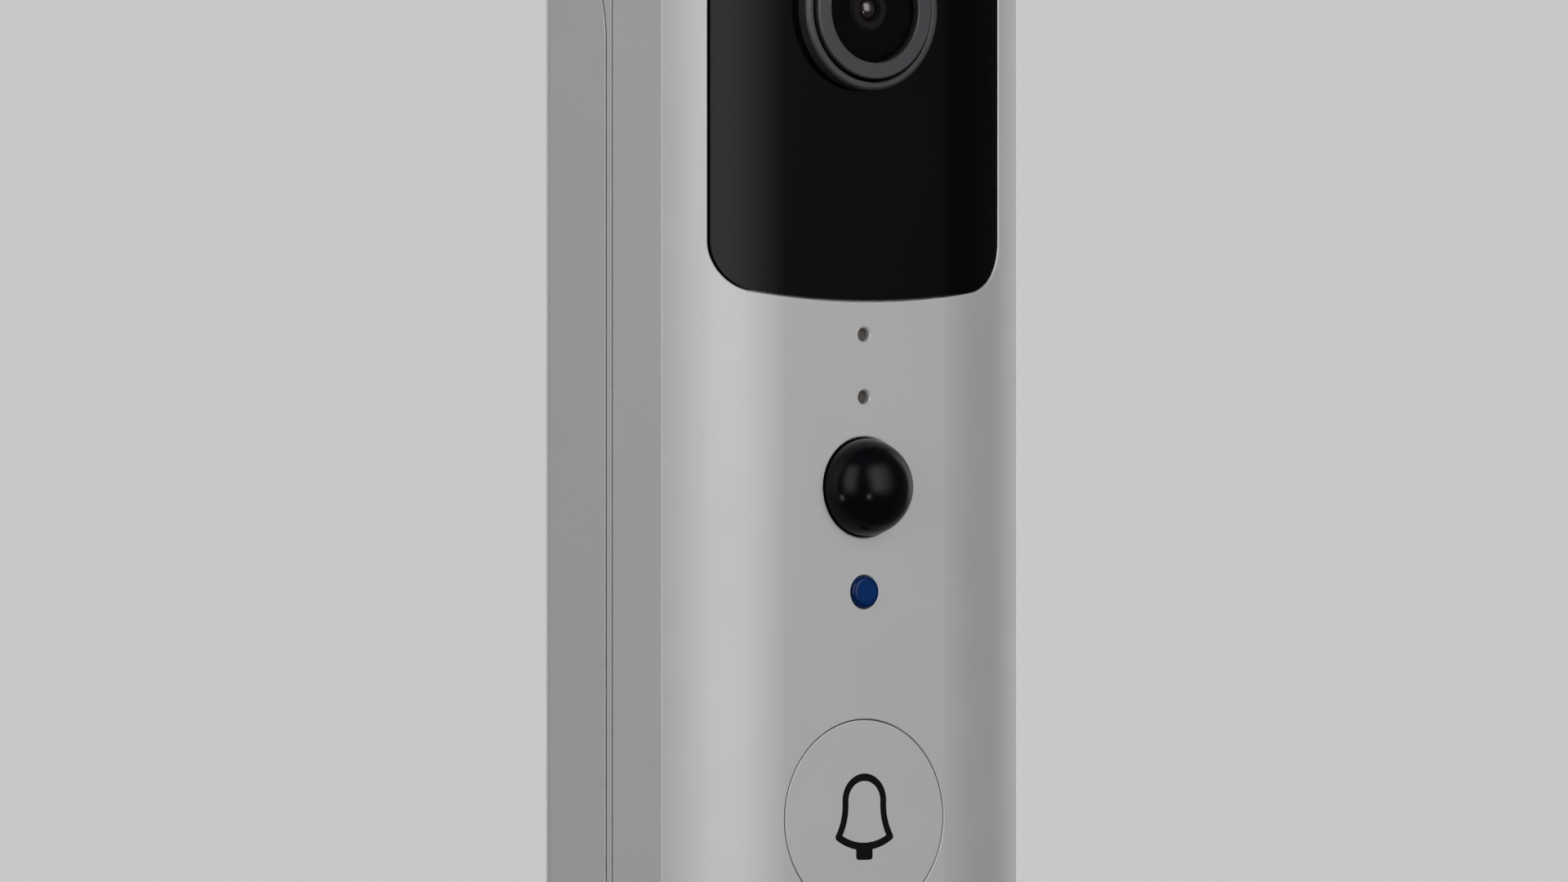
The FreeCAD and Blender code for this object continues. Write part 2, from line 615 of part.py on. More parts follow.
# ---------------------------------------------------------------- window and camera
def camera_window():
    skin = crown_prism(0, WIDTH / 2, 0).cut(crown_prism(WINDOW_THICK, WIDTH / 2, 0))
    panel = skin.common(window_prism(WINDOW_GAP))
    return panel.cut(rod(BEZEL_SLEEVE + FIT_GAP / 2, (FRONT - 1, FRONT + 3), 0, LENS_Z))


def window_adhesive():
    depth = WINDOW_THICK + ADHESIVE_THICK
    layer = crown_prism(WINDOW_THICK, WIDTH / 2, 0).cut(crown_prism(depth, WIDTH / 2, 0))
    return layer.common(window_prism(2 * WINDOW_GAP)).cut(window_prism(WINDOW_LEDGE))


def lens_bezel():
    """The outer ring on the window, with a sleeve through it."""
    profile = [
        (BEZEL_BORE, BEZEL_BACK),
        (BEZEL_SLEEVE, BEZEL_BACK),
        (BEZEL_SLEEVE, FRONT),
        (BEZEL_RADIUS, FRONT),
        (BEZEL_RADIUS, BEZEL_FRONT),
        (BEZEL_BORE, BEZEL_FRONT),
    ]
    ring = turned(profile, LENS_Z)
    ring = rounded_rim(ring, BEZEL_RADIUS, BEZEL_FRONT, fillet=0.4)
    return rounded_rim(ring, BEZEL_BORE, BEZEL_FRONT, fillet=0.15)


def lens_trim_ring():
    """The broad flat ring in front of the lens, which holds the cover glass."""
    bore = BARREL_RADIUS + 0.02
    profile = [
        (TRIM_BORE, TRIM_FRONT),
        (TRIM_RADIUS, TRIM_FRONT),
        (TRIM_RADIUS, TRIM_BACK),
        (bore, TRIM_BACK),
        (bore, BARREL_SHOULDER),
        (TRIM_BORE, BARREL_SHOULDER),
    ]
    ring = turned(profile, LENS_Z)
    ring = rounded_rim(ring, TRIM_RADIUS, TRIM_FRONT, fillet=0.2)
    return rounded_rim(ring, TRIM_BORE, TRIM_FRONT, fillet=0.12)


def lens_cover_glass():
    """A slightly domed glass disc inside the trim ring."""
    radius = TRIM_BORE - FIT_GAP / 2
    rise = GLASS_MIDDLE - GLASS_EDGE
    dome_radius = (radius ** 2 + rise ** 2) / (2 * rise)
    middle = GLASS_BACK - GLASS_MIDDLE
    disc = rod(radius, (middle, GLASS_BACK), 0, LENS_Z)
    return disc.common(Part.makeSphere(dome_radius, vec(0, middle + dome_radius, LENS_Z)))


def lens_barrel():
    """The tube with the lenses: a shallow black cone in front, with a small raised ring at its middle."""
    back = HOLDER_FRONT + BARREL_INSERT
    lip_bore = ELEMENT_DOME_HALF + FIT_GAP / 2
    profile = [
        (BARREL_NECK, GLASS_BACK),
        (BARREL_NECK, BARREL_SHOULDER),
        (BARREL_RADIUS, BARREL_SHOULDER),
        (BARREL_RADIUS, back),
        (BARREL_BORE, back),
        (BARREL_BORE, BORE_FRONT),
        (ELEMENT_RADIUS, BORE_FRONT),
        (ELEMENT_RADIUS, ELEMENT_SEAT),
        (lip_bore, ELEMENT_SEAT),
        (lip_bore, BARREL_LIP),
        (ELEMENT_RADIUS, BARREL_LIP),
        (CONE_FLOOR, BARREL_LIP + CONE_FLOOR_DROP),
        (CONE_MOUTH, GLASS_BACK),
    ]
    return turned(profile, LENS_Z)


def lens_front_element():
    """The small domed lens inside the raised ring."""
    disc = rod(ELEMENT_RADIUS - 0.02, (ELEMENT_SEAT, FRONT + 1.5), 0, LENS_Z)
    dome = rod(ELEMENT_DOME_HALF, (ELEMENT_TIP - 1.0, ELEMENT_SEAT + 0.1), 0, LENS_Z)
    ball = Part.makeSphere(ELEMENT_DOME_RADIUS, vec(0, ELEMENT_TIP + ELEMENT_DOME_RADIUS, LENS_Z))
    return joined([disc, dome.common(ball)])


def lens_rear_element():
    return rod(BARREL_BORE - FIT_GAP / 2, (BORE_FRONT + 1.0, BORE_FRONT + 3.0), 0, LENS_Z)


def lens_holder():
    """The block on the camera board that holds the barrel, with a slideway for the filters."""
    span = (LENS_Z - HOLDER_HALF, LENS_Z + HOLDER_HALF)
    body = slab(HOLDER_HALF, span, (HOLDER_FRONT, CAMERA_BOARD_FRONT), 1.2)
    barrel_depths = (HOLDER_FRONT - 1, HOLDER_FRONT + BARREL_INSERT + FIT_GAP)
    body = body.cut(rod(BARREL_RADIUS + FIT_GAP / 2, barrel_depths, 0, LENS_Z))
    body = body.cut(rod(3.2, (HOLDER_FRONT, CAMERA_BOARD_FRONT), 0, LENS_Z))
    slide_depths = (FILTER_FRONT - 0.2, FILTER_FRONT + FILTER_THICK + 0.2)
    slide_half = FILTER_HALF_HEIGHT + 0.2
    body = body.cut(block((-7.2, 7.2), slide_depths, (LENS_Z - slide_half, LENS_Z + slide_half)))
    bay_depths = (FILTER_FRONT + FILTER_THICK + 0.1, CAMERA_BOARD_FRONT)
    body = body.cut(block((-5.0, 5.0), bay_depths, (LENS_Z - 4.5, LENS_Z + 4.5)))
    for x, z in camera_screw_places():
        body = body.cut(rod(0.85, (CAMERA_BOARD_FRONT - 4.0, CAMERA_BOARD_FRONT), x, z))
    return body


def camera_screw_places():
    return [(offset, LENS_Z + offset) for offset in (-CAMERA_SCREW_OFFSET, CAMERA_SCREW_OFFSET)]


def ir_cut_filter():
    """Two small filters in a frame that slides behind the lens."""
    half = FILTER_TRAVEL / 2
    zs = (LENS_Z - FILTER_HALF_HEIGHT, LENS_Z + FILTER_HALF_HEIGHT)
    frame = block((-FILTER_TRAVEL - half, half), (FILTER_FRONT, FILTER_FRONT + FILTER_THICK), zs)
    rim = 0.4
    window_zs = (zs[0] + 2 * rim, zs[1] - 2 * rim)
    for x in (-FILTER_TRAVEL, 0.0):
        xs = (x - half + rim, x + half - rim)
        frame = frame.cut(block(xs, (FILTER_FRONT, FILTER_FRONT + 0.3), window_zs))
    return frame


def ir_cut_coil():
    """The coil beside the holder that throws the filters across."""
    core = rod(1.0, (CAMERA_BOARD_FRONT - 6.0, CAMERA_BOARD_FRONT), COIL_X, LENS_Z)
    winding = rod(1.8, (CAMERA_BOARD_FRONT - 5.2, CAMERA_BOARD_FRONT - 1.2), COIL_X, LENS_Z)
    return joined([core, winding])


def image_sensor():
    zs = (LENS_Z - SENSOR_HALF_HEIGHT, LENS_Z + SENSOR_HALF_HEIGHT)
    return block((-SENSOR_HALF, SENSOR_HALF), (CAMERA_BOARD_FRONT - 0.9, CAMERA_BOARD_FRONT), zs)


def camera_board():
    board = slab(11.7, (LENS_Z - 9.0, LENS_Z + 9.0), (CAMERA_BOARD_FRONT, CAMERA_BOARD_BACK), 1.0)
    for x, z in camera_screw_places():
        board = board.cut(rod(0.9, (CAMERA_BOARD_FRONT, CAMERA_BOARD_BACK), x, z))
    return board


def camera_screws():
    places = camera_screw_places()
    return group([screw(1.5, 0.8, 0.75, 4.0, x, CAMERA_BOARD_BACK, z) for x, z in places])


def infrared_board():
    """The board behind the window, with a hole for the lens."""
    board = slab(15.0, (90.5, 119.6), (INFRARED_BOARD_FRONT, INFRARED_BOARD_BACK), 2.0)
    return board.cut(rod(7.4, (FRONT, 0), 0, LENS_Z))


def infrared_leds():
    """Six emitters in a circle round the lens, hidden by the black window."""
    leds = []
    circle, base_half, dome_radius = 10.2, 1.4, 1.15
    front = INFRARED_BOARD_FRONT
    for turn in range(6):
        angle = math.radians(30 + 60 * turn)
        x = circle * math.cos(angle)
        z = LENS_Z + circle * math.sin(angle)
        base = block((x - base_half, x + base_half), (front - 0.8, front), (z - base_half, z + base_half))
        ball = Part.makeSphere(dome_radius, vec(x, front - 0.6, z))
        dome = ball.common(rod(dome_radius, (front - 2, front - 0.6), x, z))
        leds.append(joined([base, dome]))
    return group(leds)


def camera_ribbon():
    """The flat flexible cable from the main board over the battery bay to the camera board."""
    thick, bend = 0.15, 1.5
    low_y, high_y, shelf_z = BOARD_FRONT - 0.45, CAMERA_BOARD_FRONT - 0.35, 88.0
    start, end = 83.0, LENS_Z - HOLDER_HALF - 0.3
    shallow = bend * (1 - math.sqrt(0.5))
    runs = [
        Part.LineSegment(vec(0, low_y, start), vec(0, low_y, shelf_z - bend)),
        Part.Arc(
            vec(0, low_y, shelf_z - bend),
            vec(0, low_y + shallow, shelf_z - shallow),
            vec(0, low_y + bend, shelf_z),
        ),
        Part.LineSegment(vec(0, low_y + bend, shelf_z), vec(0, high_y - bend, shelf_z)),
        Part.Arc(
            vec(0, high_y - bend, shelf_z),
            vec(0, high_y - shallow, shelf_z + shallow),
            vec(0, high_y, shelf_z + bend),
        ),
        Part.LineSegment(vec(0, high_y, shelf_z + bend), vec(0, high_y, end)),
    ]
    path = Part.Wire([run.toShape() for run in runs])
    half = 4.0
    corners = [
        vec(-half, low_y - thick / 2, start),
        vec(half, low_y - thick / 2, start),
        vec(half, low_y + thick / 2, start),
        vec(-half, low_y + thick / 2, start),
    ]
    section = Part.makePolygon(corners + corners[:1])
    return path.makePipeShell([section], True, False)


# ---------------------------------------------------------------- front controls and sensors
def bell_outline():
    """The bell's centre line, in front view about the button's middle: a dome, two flared sides and a lip."""
    shoulder, flare, waist = 2.45, 3.35, 2.58
    shoulder_z, flare_z = 1.8, -1.95
    top_left, top_right = vec(-shoulder, 0, shoulder_z), vec(shoulder, 0, shoulder_z)
    low_left, low_right = vec(-flare, 0, flare_z), vec(flare, 0, flare_z)
    curves = [
        Part.Arc(top_left, vec(0, 0, shoulder_z + shoulder), top_right),
        Part.Arc(top_right, vec(waist, 0, 0), low_right),
        Part.Arc(low_right, vec(0, 0, flare_z - 1.0), low_left),
        Part.Arc(low_left, vec(-waist, 0, 0), top_left),
    ]
    return Part.Wire([curve.toShape() for curve in curves])


def bell_drawing(depths):
    """The bell pictogram as a solid between two depths."""
    length = vec(0, depths[1] - depths[0], 0)
    centre_line = bell_outline()
    outer = Part.Face(centre_line.makeOffset2D(ICON_LINE / 2)).extrude(length)
    inner = Part.Face(centre_line.makeOffset2D(-ICON_LINE / 2)).extrude(length)
    clapper = block((-1.08, 1.08), (0, length.y), (-4.35, -3.0))
    low = [e for e in clapper.Edges if along_y(e) and e.Vertexes[0].Z < -4]
    clapper = clapper.makeFillet(0.35, low)
    drawing = joined([outer.cut(inner), clapper])
    drawing.translate(vec(0, depths[0], BUTTON_Z))
    return drawing


def bell_button():
    cap = rod(BUTTON_RADIUS, (FRONT, FRONT + FRONT_WALL), 0, BUTTON_Z)
    cap = rounded_rim(cap, BUTTON_RADIUS, FRONT, BUTTON_RIM_FILLET)
    flange = rod(BUTTON_FLANGE, (FRONT + FRONT_WALL, BUTTON_BACK), 0, BUTTON_Z)
    flange = rounded_rim(flange, BUTTON_FLANGE, FRONT + FRONT_WALL, fillet=0.5)
    return joined([cap, flange]).cut(bell_drawing((FRONT - 1, FRONT + ICON_DEPTH)))


def bell_icon():
    return bell_drawing((FRONT + 0.04, FRONT + ICON_DEPTH))


def button_return_ring():
    return tube(10.5, 8.5, (BUTTON_BACK, BOARD_FRONT), 0, BUTTON_Z)


def button_switch():
    half = 2.6
    body = block((-half, half), (BOARD_FRONT - 0.6, BOARD_FRONT), (BUTTON_Z - half, BUTTON_Z + half))
    return body.cut(rod(PLUNGER_RADIUS + FIT_GAP / 2, (BOARD_FRONT - 1, BOARD_FRONT), 0, BUTTON_Z))


def switch_plunger():
    return rod(PLUNGER_RADIUS, (BUTTON_BACK, BOARD_FRONT - BUTTON_TRAVEL - 0.05), 0, BUTTON_Z)


def status_light_lens():
    """The blue light guide: it stands a little proud of the casing and has a flange inside."""
    tip = FRONT - 0.5
    inside = FRONT + FRONT_WALL
    guide = rod(STATUS_RADIUS, (tip, inside + 0.6), 0, STATUS_Z)
    flange = rod(2.4, (inside, inside + 0.6), 0, STATUS_Z)
    return rounded_rim(joined([guide, flange]), STATUS_RADIUS, tip, fillet=0.45)


def status_led():
    return block((-0.8, 0.8), (BOARD_FRONT - 0.7, BOARD_FRONT), (STATUS_Z - 0.5, STATUS_Z + 0.5))


def motion_lens():
    """The dome over the motion sensor: a thin hemisphere on a sleeve with a flange inside the casing."""
    inside = FRONT + FRONT_WALL
    sleeve = rod(PIR_RADIUS, (FRONT, inside + 0.1), 0, PIR_Z)
    front_half = rod(PIR_RADIUS + 1, (FRONT - 10, FRONT), 0, PIR_Z)
    dome = Part.makeSphere(PIR_RADIUS, vec(0, FRONT, PIR_Z)).common(front_half)
    flange = rod(6.3, (inside, inside + PIR_FLANGE), 0, PIR_Z)
    hollow_dome = Part.makeSphere(PIR_RADIUS - PIR_WALL, vec(0, FRONT, PIR_Z))
    hollow = rod(PIR_RADIUS - PIR_WALL, (FRONT, inside + 1), 0, PIR_Z)
    return joined([sleeve, dome, flange]).cut(hollow_dome).cut(hollow)


def motion_sensor():
    """A round metal can with a shallow window in its front."""
    can_front = BOARD_FRONT - PIR_CAN_HEIGHT
    can = rod(PIR_CAN_RADIUS, (can_front, BOARD_FRONT), 0, PIR_Z)
    can = rounded_rim(can, PIR_CAN_RADIUS, can_front, fillet=0.3)
    return can.cut(block((-1.9, 1.9), (FRONT, can_front + 0.2), (PIR_Z - 1.4, PIR_Z + 1.4)))


def motion_gasket():
    return tube(6.2, 4.7, (FRONT + FRONT_WALL + PIR_FLANGE, BOARD_FRONT), 0, PIR_Z)


def port_screens():
    return group([rod(PORT_RADIUS - 0.02, (FRONT + 0.7, FRONT + 0.9), 0, z) for z in port_heights()])


def sensor_boots():
    """Rubber tubes from the two small holes to the microphone and the light sensor."""
    depths = (FRONT + FRONT_WALL, PORT_CHIP_FRONT)
    return group([tube(2.2, 0.75, depths, 0, z) for z in port_heights()])


def microphone():
    return block((-1.9, 1.9), (PORT_CHIP_FRONT, BOARD_FRONT), (MICROPHONE_Z - 1.5, MICROPHONE_Z + 1.5))


def light_sensor():
    return block((-1.0, 1.0), (PORT_CHIP_FRONT, BOARD_FRONT), (LIGHT_SENSOR_Z - 1.0, LIGHT_SENSOR_Z + 1.0))


def main_board():
    """The main board, narrower at the bottom where it passes between the housing screws' bosses."""
    depths = (BOARD_FRONT, BOARD_BACK)
    wide_part = slab(17.0, (13.0, 85.0), depths, 1.5)
    narrow_part = slab(14.6, (6.8, 20.0), depths, 1.5)
    board = joined([wide_part, narrow_part])
    for x, z in board_screw_places():
        board = board.cut(rod(0.9, depths, x, z))
    return board


def board_screws():
    return group([screw(1.6, 0.9, 0.75, 3.0, x, BOARD_BACK, z) for x, z in board_screw_places()])


def processor_chip():
    return block((-13.0, -4.0), (BOARD_FRONT - 0.9, BOARD_FRONT), (31.0, 38.0))


def radio_module():
    base = block((4.0, 14.5), (BOARD_FRONT - 0.5, BOARD_FRONT), (31.0, 43.0))
    shield = block((4.6, 13.9), (BOARD_FRONT - 1.3, BOARD_FRONT - 0.5), (31.6, 39.5))
    return joined([base, shield])


def board_components():
    """Capacitors, an inductor, a memory chip and the camera connector on the main board."""
    boxes = (                  # middle's x and z, width, height and thickness
        (-11.5, 46.0, 4.0, 5.0, 1.0),
        (-12.0, 55.0, 3.0, 3.0, 1.2),
        (-12.0, 61.0, 2.0, 1.2, 0.6),
        (-9.0, 64.0, 1.2, 2.0, 0.6),
        (10.5, 49.0, 5.0, 4.0, 0.9),
        (10.0, 57.0, 3.0, 3.0, 1.2),
        (9.0, 63.5, 2.0, 1.2, 0.6),
        (12.5, 63.5, 1.2, 2.0, 0.6),
        (7.0, 75.0, 6.0, 5.0, 0.9),
        (-8.0, 75.0, 3.0, 4.0, 1.0),
    )
    solids = []
    for x, z, wide, tall, high in boxes:
        xs = (x - wide / 2, x + wide / 2)
        solids.append(block(xs, (BOARD_FRONT - high, BOARD_FRONT), (z - tall / 2, z + tall / 2)))
    socket = block((-5.0, 5.0), (BOARD_FRONT - 1.0, BOARD_FRONT), (81.0, 84.2))
    slit = block((-4.2, 4.2), (BOARD_FRONT - 0.6, BOARD_FRONT - 0.3), (82.8, 84.2))
    solids.append(socket.cut(slit))
    return group(solids)


# ---------------------------------------------------------------- battery bay
def cell_sides():
    """Both cells: their side and their positive end, +1 up or -1 down."""
    return ((-1, 1), (1, -1))


def cell_span(end):
    """Lowest and highest point of a cell's can. The spring's end leaves more room than the plate's."""
    low = BAY_LOW + CELL_REST
    if end > 0:
        return (low, low + CELL_LENGTH)
    high = BAY_LOW + BAY_HIGH - low
    return (high - CELL_LENGTH, high)


def battery_cell(side, end):
    low, high = cell_span(end)
    can = post(CELL_RADIUS, (low, high), side * CELL_X, CELL_Y)
    rims = [e for e in can.Edges if isinstance(e.Curve, Part.Circle)]
    can = can.makeFillet(0.6, rims)
    groove_z = high - 2.6 if end > 0 else low + 2.6
    groove = Part.makeTorus(CELL_RADIUS + 0.25, 0.55, vec(side * CELL_X, CELL_Y, groove_z))
    return can.cut(groove)


def battery_caps():
    """The positive end caps."""
    caps = []
    for side, end in cell_sides():
        low, high = cell_span(end)
        zs = (high, high + CELL_NUB) if end > 0 else (low - CELL_NUB, low)
        caps.append(post(3.2, zs, side * CELL_X, CELL_Y))
    return group(caps)


def contact_plates():
    """Four plates on the bay's end walls, those at the positive ends with a raised pad."""
    plates = []
    for side, end in cell_sides():
        x = side * CELL_X
        xs = (x - PLATE_HALF, x + PLATE_HALF)
        ys = (CELL_Y - PLATE_HALF, CELL_Y + PLATE_HALF)
        low_top = BAY_LOW + PLATE_THICK
        high_bottom = BAY_HIGH - PLATE_THICK
        low = block(xs, ys, (BAY_LOW, low_top))
        high = block(xs, ys, (high_bottom, BAY_HIGH))
        cell_low, cell_high = cell_span(end)
        if end > 0:
            high = joined([high, post(2.6, (cell_high + CELL_NUB, high_bottom), x, CELL_Y)])
        else:
            low = joined([low, post(2.6, (low_top, cell_low - CELL_NUB), x, CELL_Y)])
        plates += [low, high]
    return group(plates)


def contact_springs():
    """A coiled wire between each spring plate and its cell's negative end."""
    springs = []
    height = CELL_REST - PLATE_THICK - 2 * SPRING_WIRE
    for side, end in cell_sides():
        low, high = cell_span(end)
        start = (BAY_LOW + PLATE_THICK if end > 0 else high) + SPRING_WIRE
        helix = Part.makeLongHelix(1.2, height - 0.02, SPRING_COIL)
        section = Part.Wire([Part.makeCircle(SPRING_WIRE, vec(SPRING_COIL, 0, 0), vec(0, 1, 0))])
        coil = Part.Wire(helix.Edges).makePipeShell([section], True, True)
        coil.translate(vec(side * CELL_X, CELL_Y, start))
        springs.append(coil)
    return group(springs)


# ---------------------------------------------------------------- sound, power and wiring
def speaker_inside(margin):
    """Limits across and in depth of a rectangle inside the speaker's frame."""
    half = SPEAKER_HALF - margin
    return (-half, half), (SPEAKER_DEPTHS[0] + margin, SPEAKER_DEPTHS[1] - margin)


def speaker_frame():
    body = block((-SPEAKER_HALF, SPEAKER_HALF), SPEAKER_DEPTHS, (SPEAKER_LOW, SPEAKER_HIGH))
    body = body.makeFillet(1.2, [e for e in body.Edges if abs(e.Vertexes[0].Z - e.Vertexes[1].Z) > 1])
    body = body.cut(block(*speaker_inside(SPEAKER_RIM), (SPEAKER_LOW, SPEAKER_LOW + 1.0)))
    magnet = block((-4.5, 4.5), (-23.0, -18.6), (SPEAKER_HIGH, SPEAKER_HIGH + 0.7))
    return joined([body, magnet])


def speaker_diaphragm():
    return block(*speaker_inside(SPEAKER_RIM + FIT_GAP), (SPEAKER_LOW + 0.3, SPEAKER_LOW + 0.5))


def speaker_gasket():
    zs = (SIDE_WALL, SPEAKER_LOW)
    return block(*speaker_inside(FIT_GAP), zs).cut(block(*speaker_inside(1.0), zs))


def wifi_antenna():
    """A strip of film stuck to the rear housing's wall, above the wall cover."""
    wall = TOP_BACK - REAR_WALL
    return slab(8.0, (119.9, 124.2), (wall - 0.3, wall), 0.6)


def interface_board():
    """The small board behind the terminals, the charging socket and the reset button."""
    return slab(19.2, (87.3, 92.9), (CAMERA_BOARD_FRONT, CAMERA_BOARD_BACK), 0.8)


def usb_socket():
    wall, mouth, floor = 0.4, -2.6, -7.4
    zs = (TERMINAL_Z - USB_HALF_HEIGHT, TERMINAL_Z + USB_HALF_HEIGHT)
    outer = block((USB_X - USB_HALF, USB_X + USB_HALF), (CAMERA_BOARD_BACK, mouth), zs)
    inside = USB_HALF - wall
    hollow = block((USB_X - inside, USB_X + inside), (floor, mouth), (zs[0] + wall, zs[1] - wall))
    tongue_zs = (TERMINAL_Z - 0.3, TERMINAL_Z + 0.3)
    tongue = block((USB_X - 2.6, USB_X + 2.6), (floor - 0.1, mouth - 0.8), tongue_zs)
    return joined([outer.cut(hollow), tongue])


def reset_switch():
    half = 1.75
    zs = (TERMINAL_Z - half, TERMINAL_Z + half)
    body = block((RESET_X - half, RESET_X + half), (CAMERA_BOARD_BACK, -6.7), zs)
    return body.cut(rod(0.9, (-7.4, -6), RESET_X, TERMINAL_Z))


def reset_button():
    cap_back = BODY_BACK - 0.3
    stem = rod(0.8, (-6.95, -4.0), RESET_X, TERMINAL_Z)
    flange = rod(2.4, (-4.4, BODY_BACK - REAR_WALL), RESET_X, TERMINAL_Z)
    cap = rod(RESET_RADIUS, (-4.0, cap_back), RESET_X, TERMINAL_Z)
    cap = rounded_rim(cap, RESET_RADIUS, cap_back, fillet=0.3)
    return joined([stem, flange, cap])


def terminal_block():
    """Two terminals side by side, with a groove between them."""
    span = (TERMINAL_Z - TERMINAL_HALF, TERMINAL_Z + TERMINAL_HALF)
    body = block((-TERMINAL_BLOCK_HALF, TERMINAL_BLOCK_HALF), (CAMERA_BOARD_BACK, TERMINAL_FACE), span)
    body = body.cut(block((-0.6, 0.6), (TERMINAL_FACE - 1.2, -4), span))
    for x in TERMINAL_XS:
        body = body.cut(rod(TERMINAL_HOLE_RADIUS, (-7.6, -4), x, TERMINAL_Z))
    return body


def terminal_screws():
    seat = TERMINAL_FACE + WASHER_THICK
    return group([screw(2.2, 1.5, 1.2, 3.0, x, seat, TERMINAL_Z) for x in TERMINAL_XS])


def terminal_washers():
    """Square clamping washers under the terminal screws."""
    washers = []
    half = 2.4
    depths = (TERMINAL_FACE, TERMINAL_FACE + WASHER_THICK)
    for x in TERMINAL_XS:
        plate = block((x - half, x + half), depths, (TERMINAL_Z - half, TERMINAL_Z + half))
        washers.append(plate.cut(rod(TERMINAL_HOLE_RADIUS, depths, x, TERMINAL_Z)))
    return group(washers)


# ---------------------------------------------------------------- export
NODES = {
    "front_housing": front_housing,
    "housing_seal": housing_seal,
    "rear_housing": rear_housing,
    "housing_screws": housing_screws,
    "rear_cover": rear_cover,
    "battery_pad": battery_pad,
    "security_screw": security_screw,
    "camera_window": camera_window,
    "window_adhesive": window_adhesive,
    "lens_bezel": lens_bezel,
    "lens_trim_ring": lens_trim_ring,
    "lens_cover_glass": lens_cover_glass,
    "lens_barrel": lens_barrel,
    "lens_front_element": lens_front_element,
    "lens_rear_element": lens_rear_element,
    "lens_holder": lens_holder,
    "ir_cut_filter": ir_cut_filter,
    "ir_cut_coil": ir_cut_coil,
    "image_sensor": image_sensor,
    "camera_board": camera_board,
    "camera_screws": camera_screws,
    "camera_ribbon": camera_ribbon,
    "infrared_board": infrared_board,
    "infrared_leds": infrared_leds,
    "bell_button": bell_button,
    "bell_icon": bell_icon,
    "button_return_ring": button_return_ring,
    "button_switch": button_switch,
    "switch_plunger": switch_plunger,
    "status_light_lens": status_light_lens,
    "status_led": status_led,
    "motion_lens": motion_lens,
    "motion_sensor": motion_sensor,
    "motion_gasket": motion_gasket,
    "port_screens": port_screens,
    "sensor_boots": sensor_boots,
    "microphone": microphone,
    "light_sensor": light_sensor,
    "main_board": main_board,
    "board_screws": board_screws,
    "processor_chip": processor_chip,
    "radio_module": radio_module,
    "board_components": board_components,
    "battery_cell_left": lambda: battery_cell(*cell_sides()[0]),
    "battery_cell_right": lambda: battery_cell(*cell_sides()[1]),
    "battery_caps": battery_caps,
    "contact_plates": contact_plates,
    "contact_springs": contact_springs,
    "speaker_frame": speaker_frame,
    "speaker_diaphragm": speaker_diaphragm,
    "speaker_gasket": speaker_gasket,
    "wifi_antenna": wifi_antenna,
    "interface_board": interface_board,
    "usb_socket": usb_socket,
    "reset_switch": reset_switch,
    "reset_button": reset_button,
    "terminal_block": terminal_block,
    "terminal_screws": terminal_screws,
    "terminal_washers": terminal_washers,
}


def export():
    os.makedirs("parts", exist_ok=True)
    for name, make in NODES.items():
        shape = make()
        shape.translate(FRAME_SHIFT)
        solids = shape.Solids
        good = shape.isValid() and all(solid.isValid() and solid.Volume > 0 for solid in solids)
        print(f"{name}: {len(solids)} solids, {shape.Volume:.1f} mm3, {'valid' if good else 'NOT VALID'}")
        shape.exportStep(os.path.join("parts", name + ".step"))


export()
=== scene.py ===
import math

import bpy
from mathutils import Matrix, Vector


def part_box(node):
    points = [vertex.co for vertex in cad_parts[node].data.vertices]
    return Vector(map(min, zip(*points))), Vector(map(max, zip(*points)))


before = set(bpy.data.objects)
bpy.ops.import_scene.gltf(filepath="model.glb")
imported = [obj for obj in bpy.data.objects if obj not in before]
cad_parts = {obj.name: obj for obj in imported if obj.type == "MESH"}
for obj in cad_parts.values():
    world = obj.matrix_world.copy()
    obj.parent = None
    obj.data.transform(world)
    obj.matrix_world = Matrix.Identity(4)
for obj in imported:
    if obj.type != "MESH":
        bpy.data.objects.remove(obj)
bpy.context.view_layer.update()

# Everything is in metres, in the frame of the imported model: +X to a visitor's right, +Y into the wall, +Z up.
MM = 0.001


# ---------------------------------------------------------------- places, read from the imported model
def middle(node):
    lo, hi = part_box(node)
    return (lo + hi) / 2


FRONT_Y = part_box("front_housing")[0].y
LENS = middle("lens_bezel")
STATUS_LIGHT = middle("status_light_lens")
STATUS_RADIUS = 1.7 * MM
SMALL_LENS_RIM = 2.3 * MM             # radius where the small lens's paler ring ends
CHIP_LOW, CHIP_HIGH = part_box("processor_chip")
SLEEVE_BAND_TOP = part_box("battery_cell_left")[0].z + 8 * MM
TAN_SHARE = 0.45                      # of the small components; the others are dark grey
SILVER = (0.62, 0.62, 0.635)
PALE = (0.98, 0.98, 1.0)              # the surround and the floor


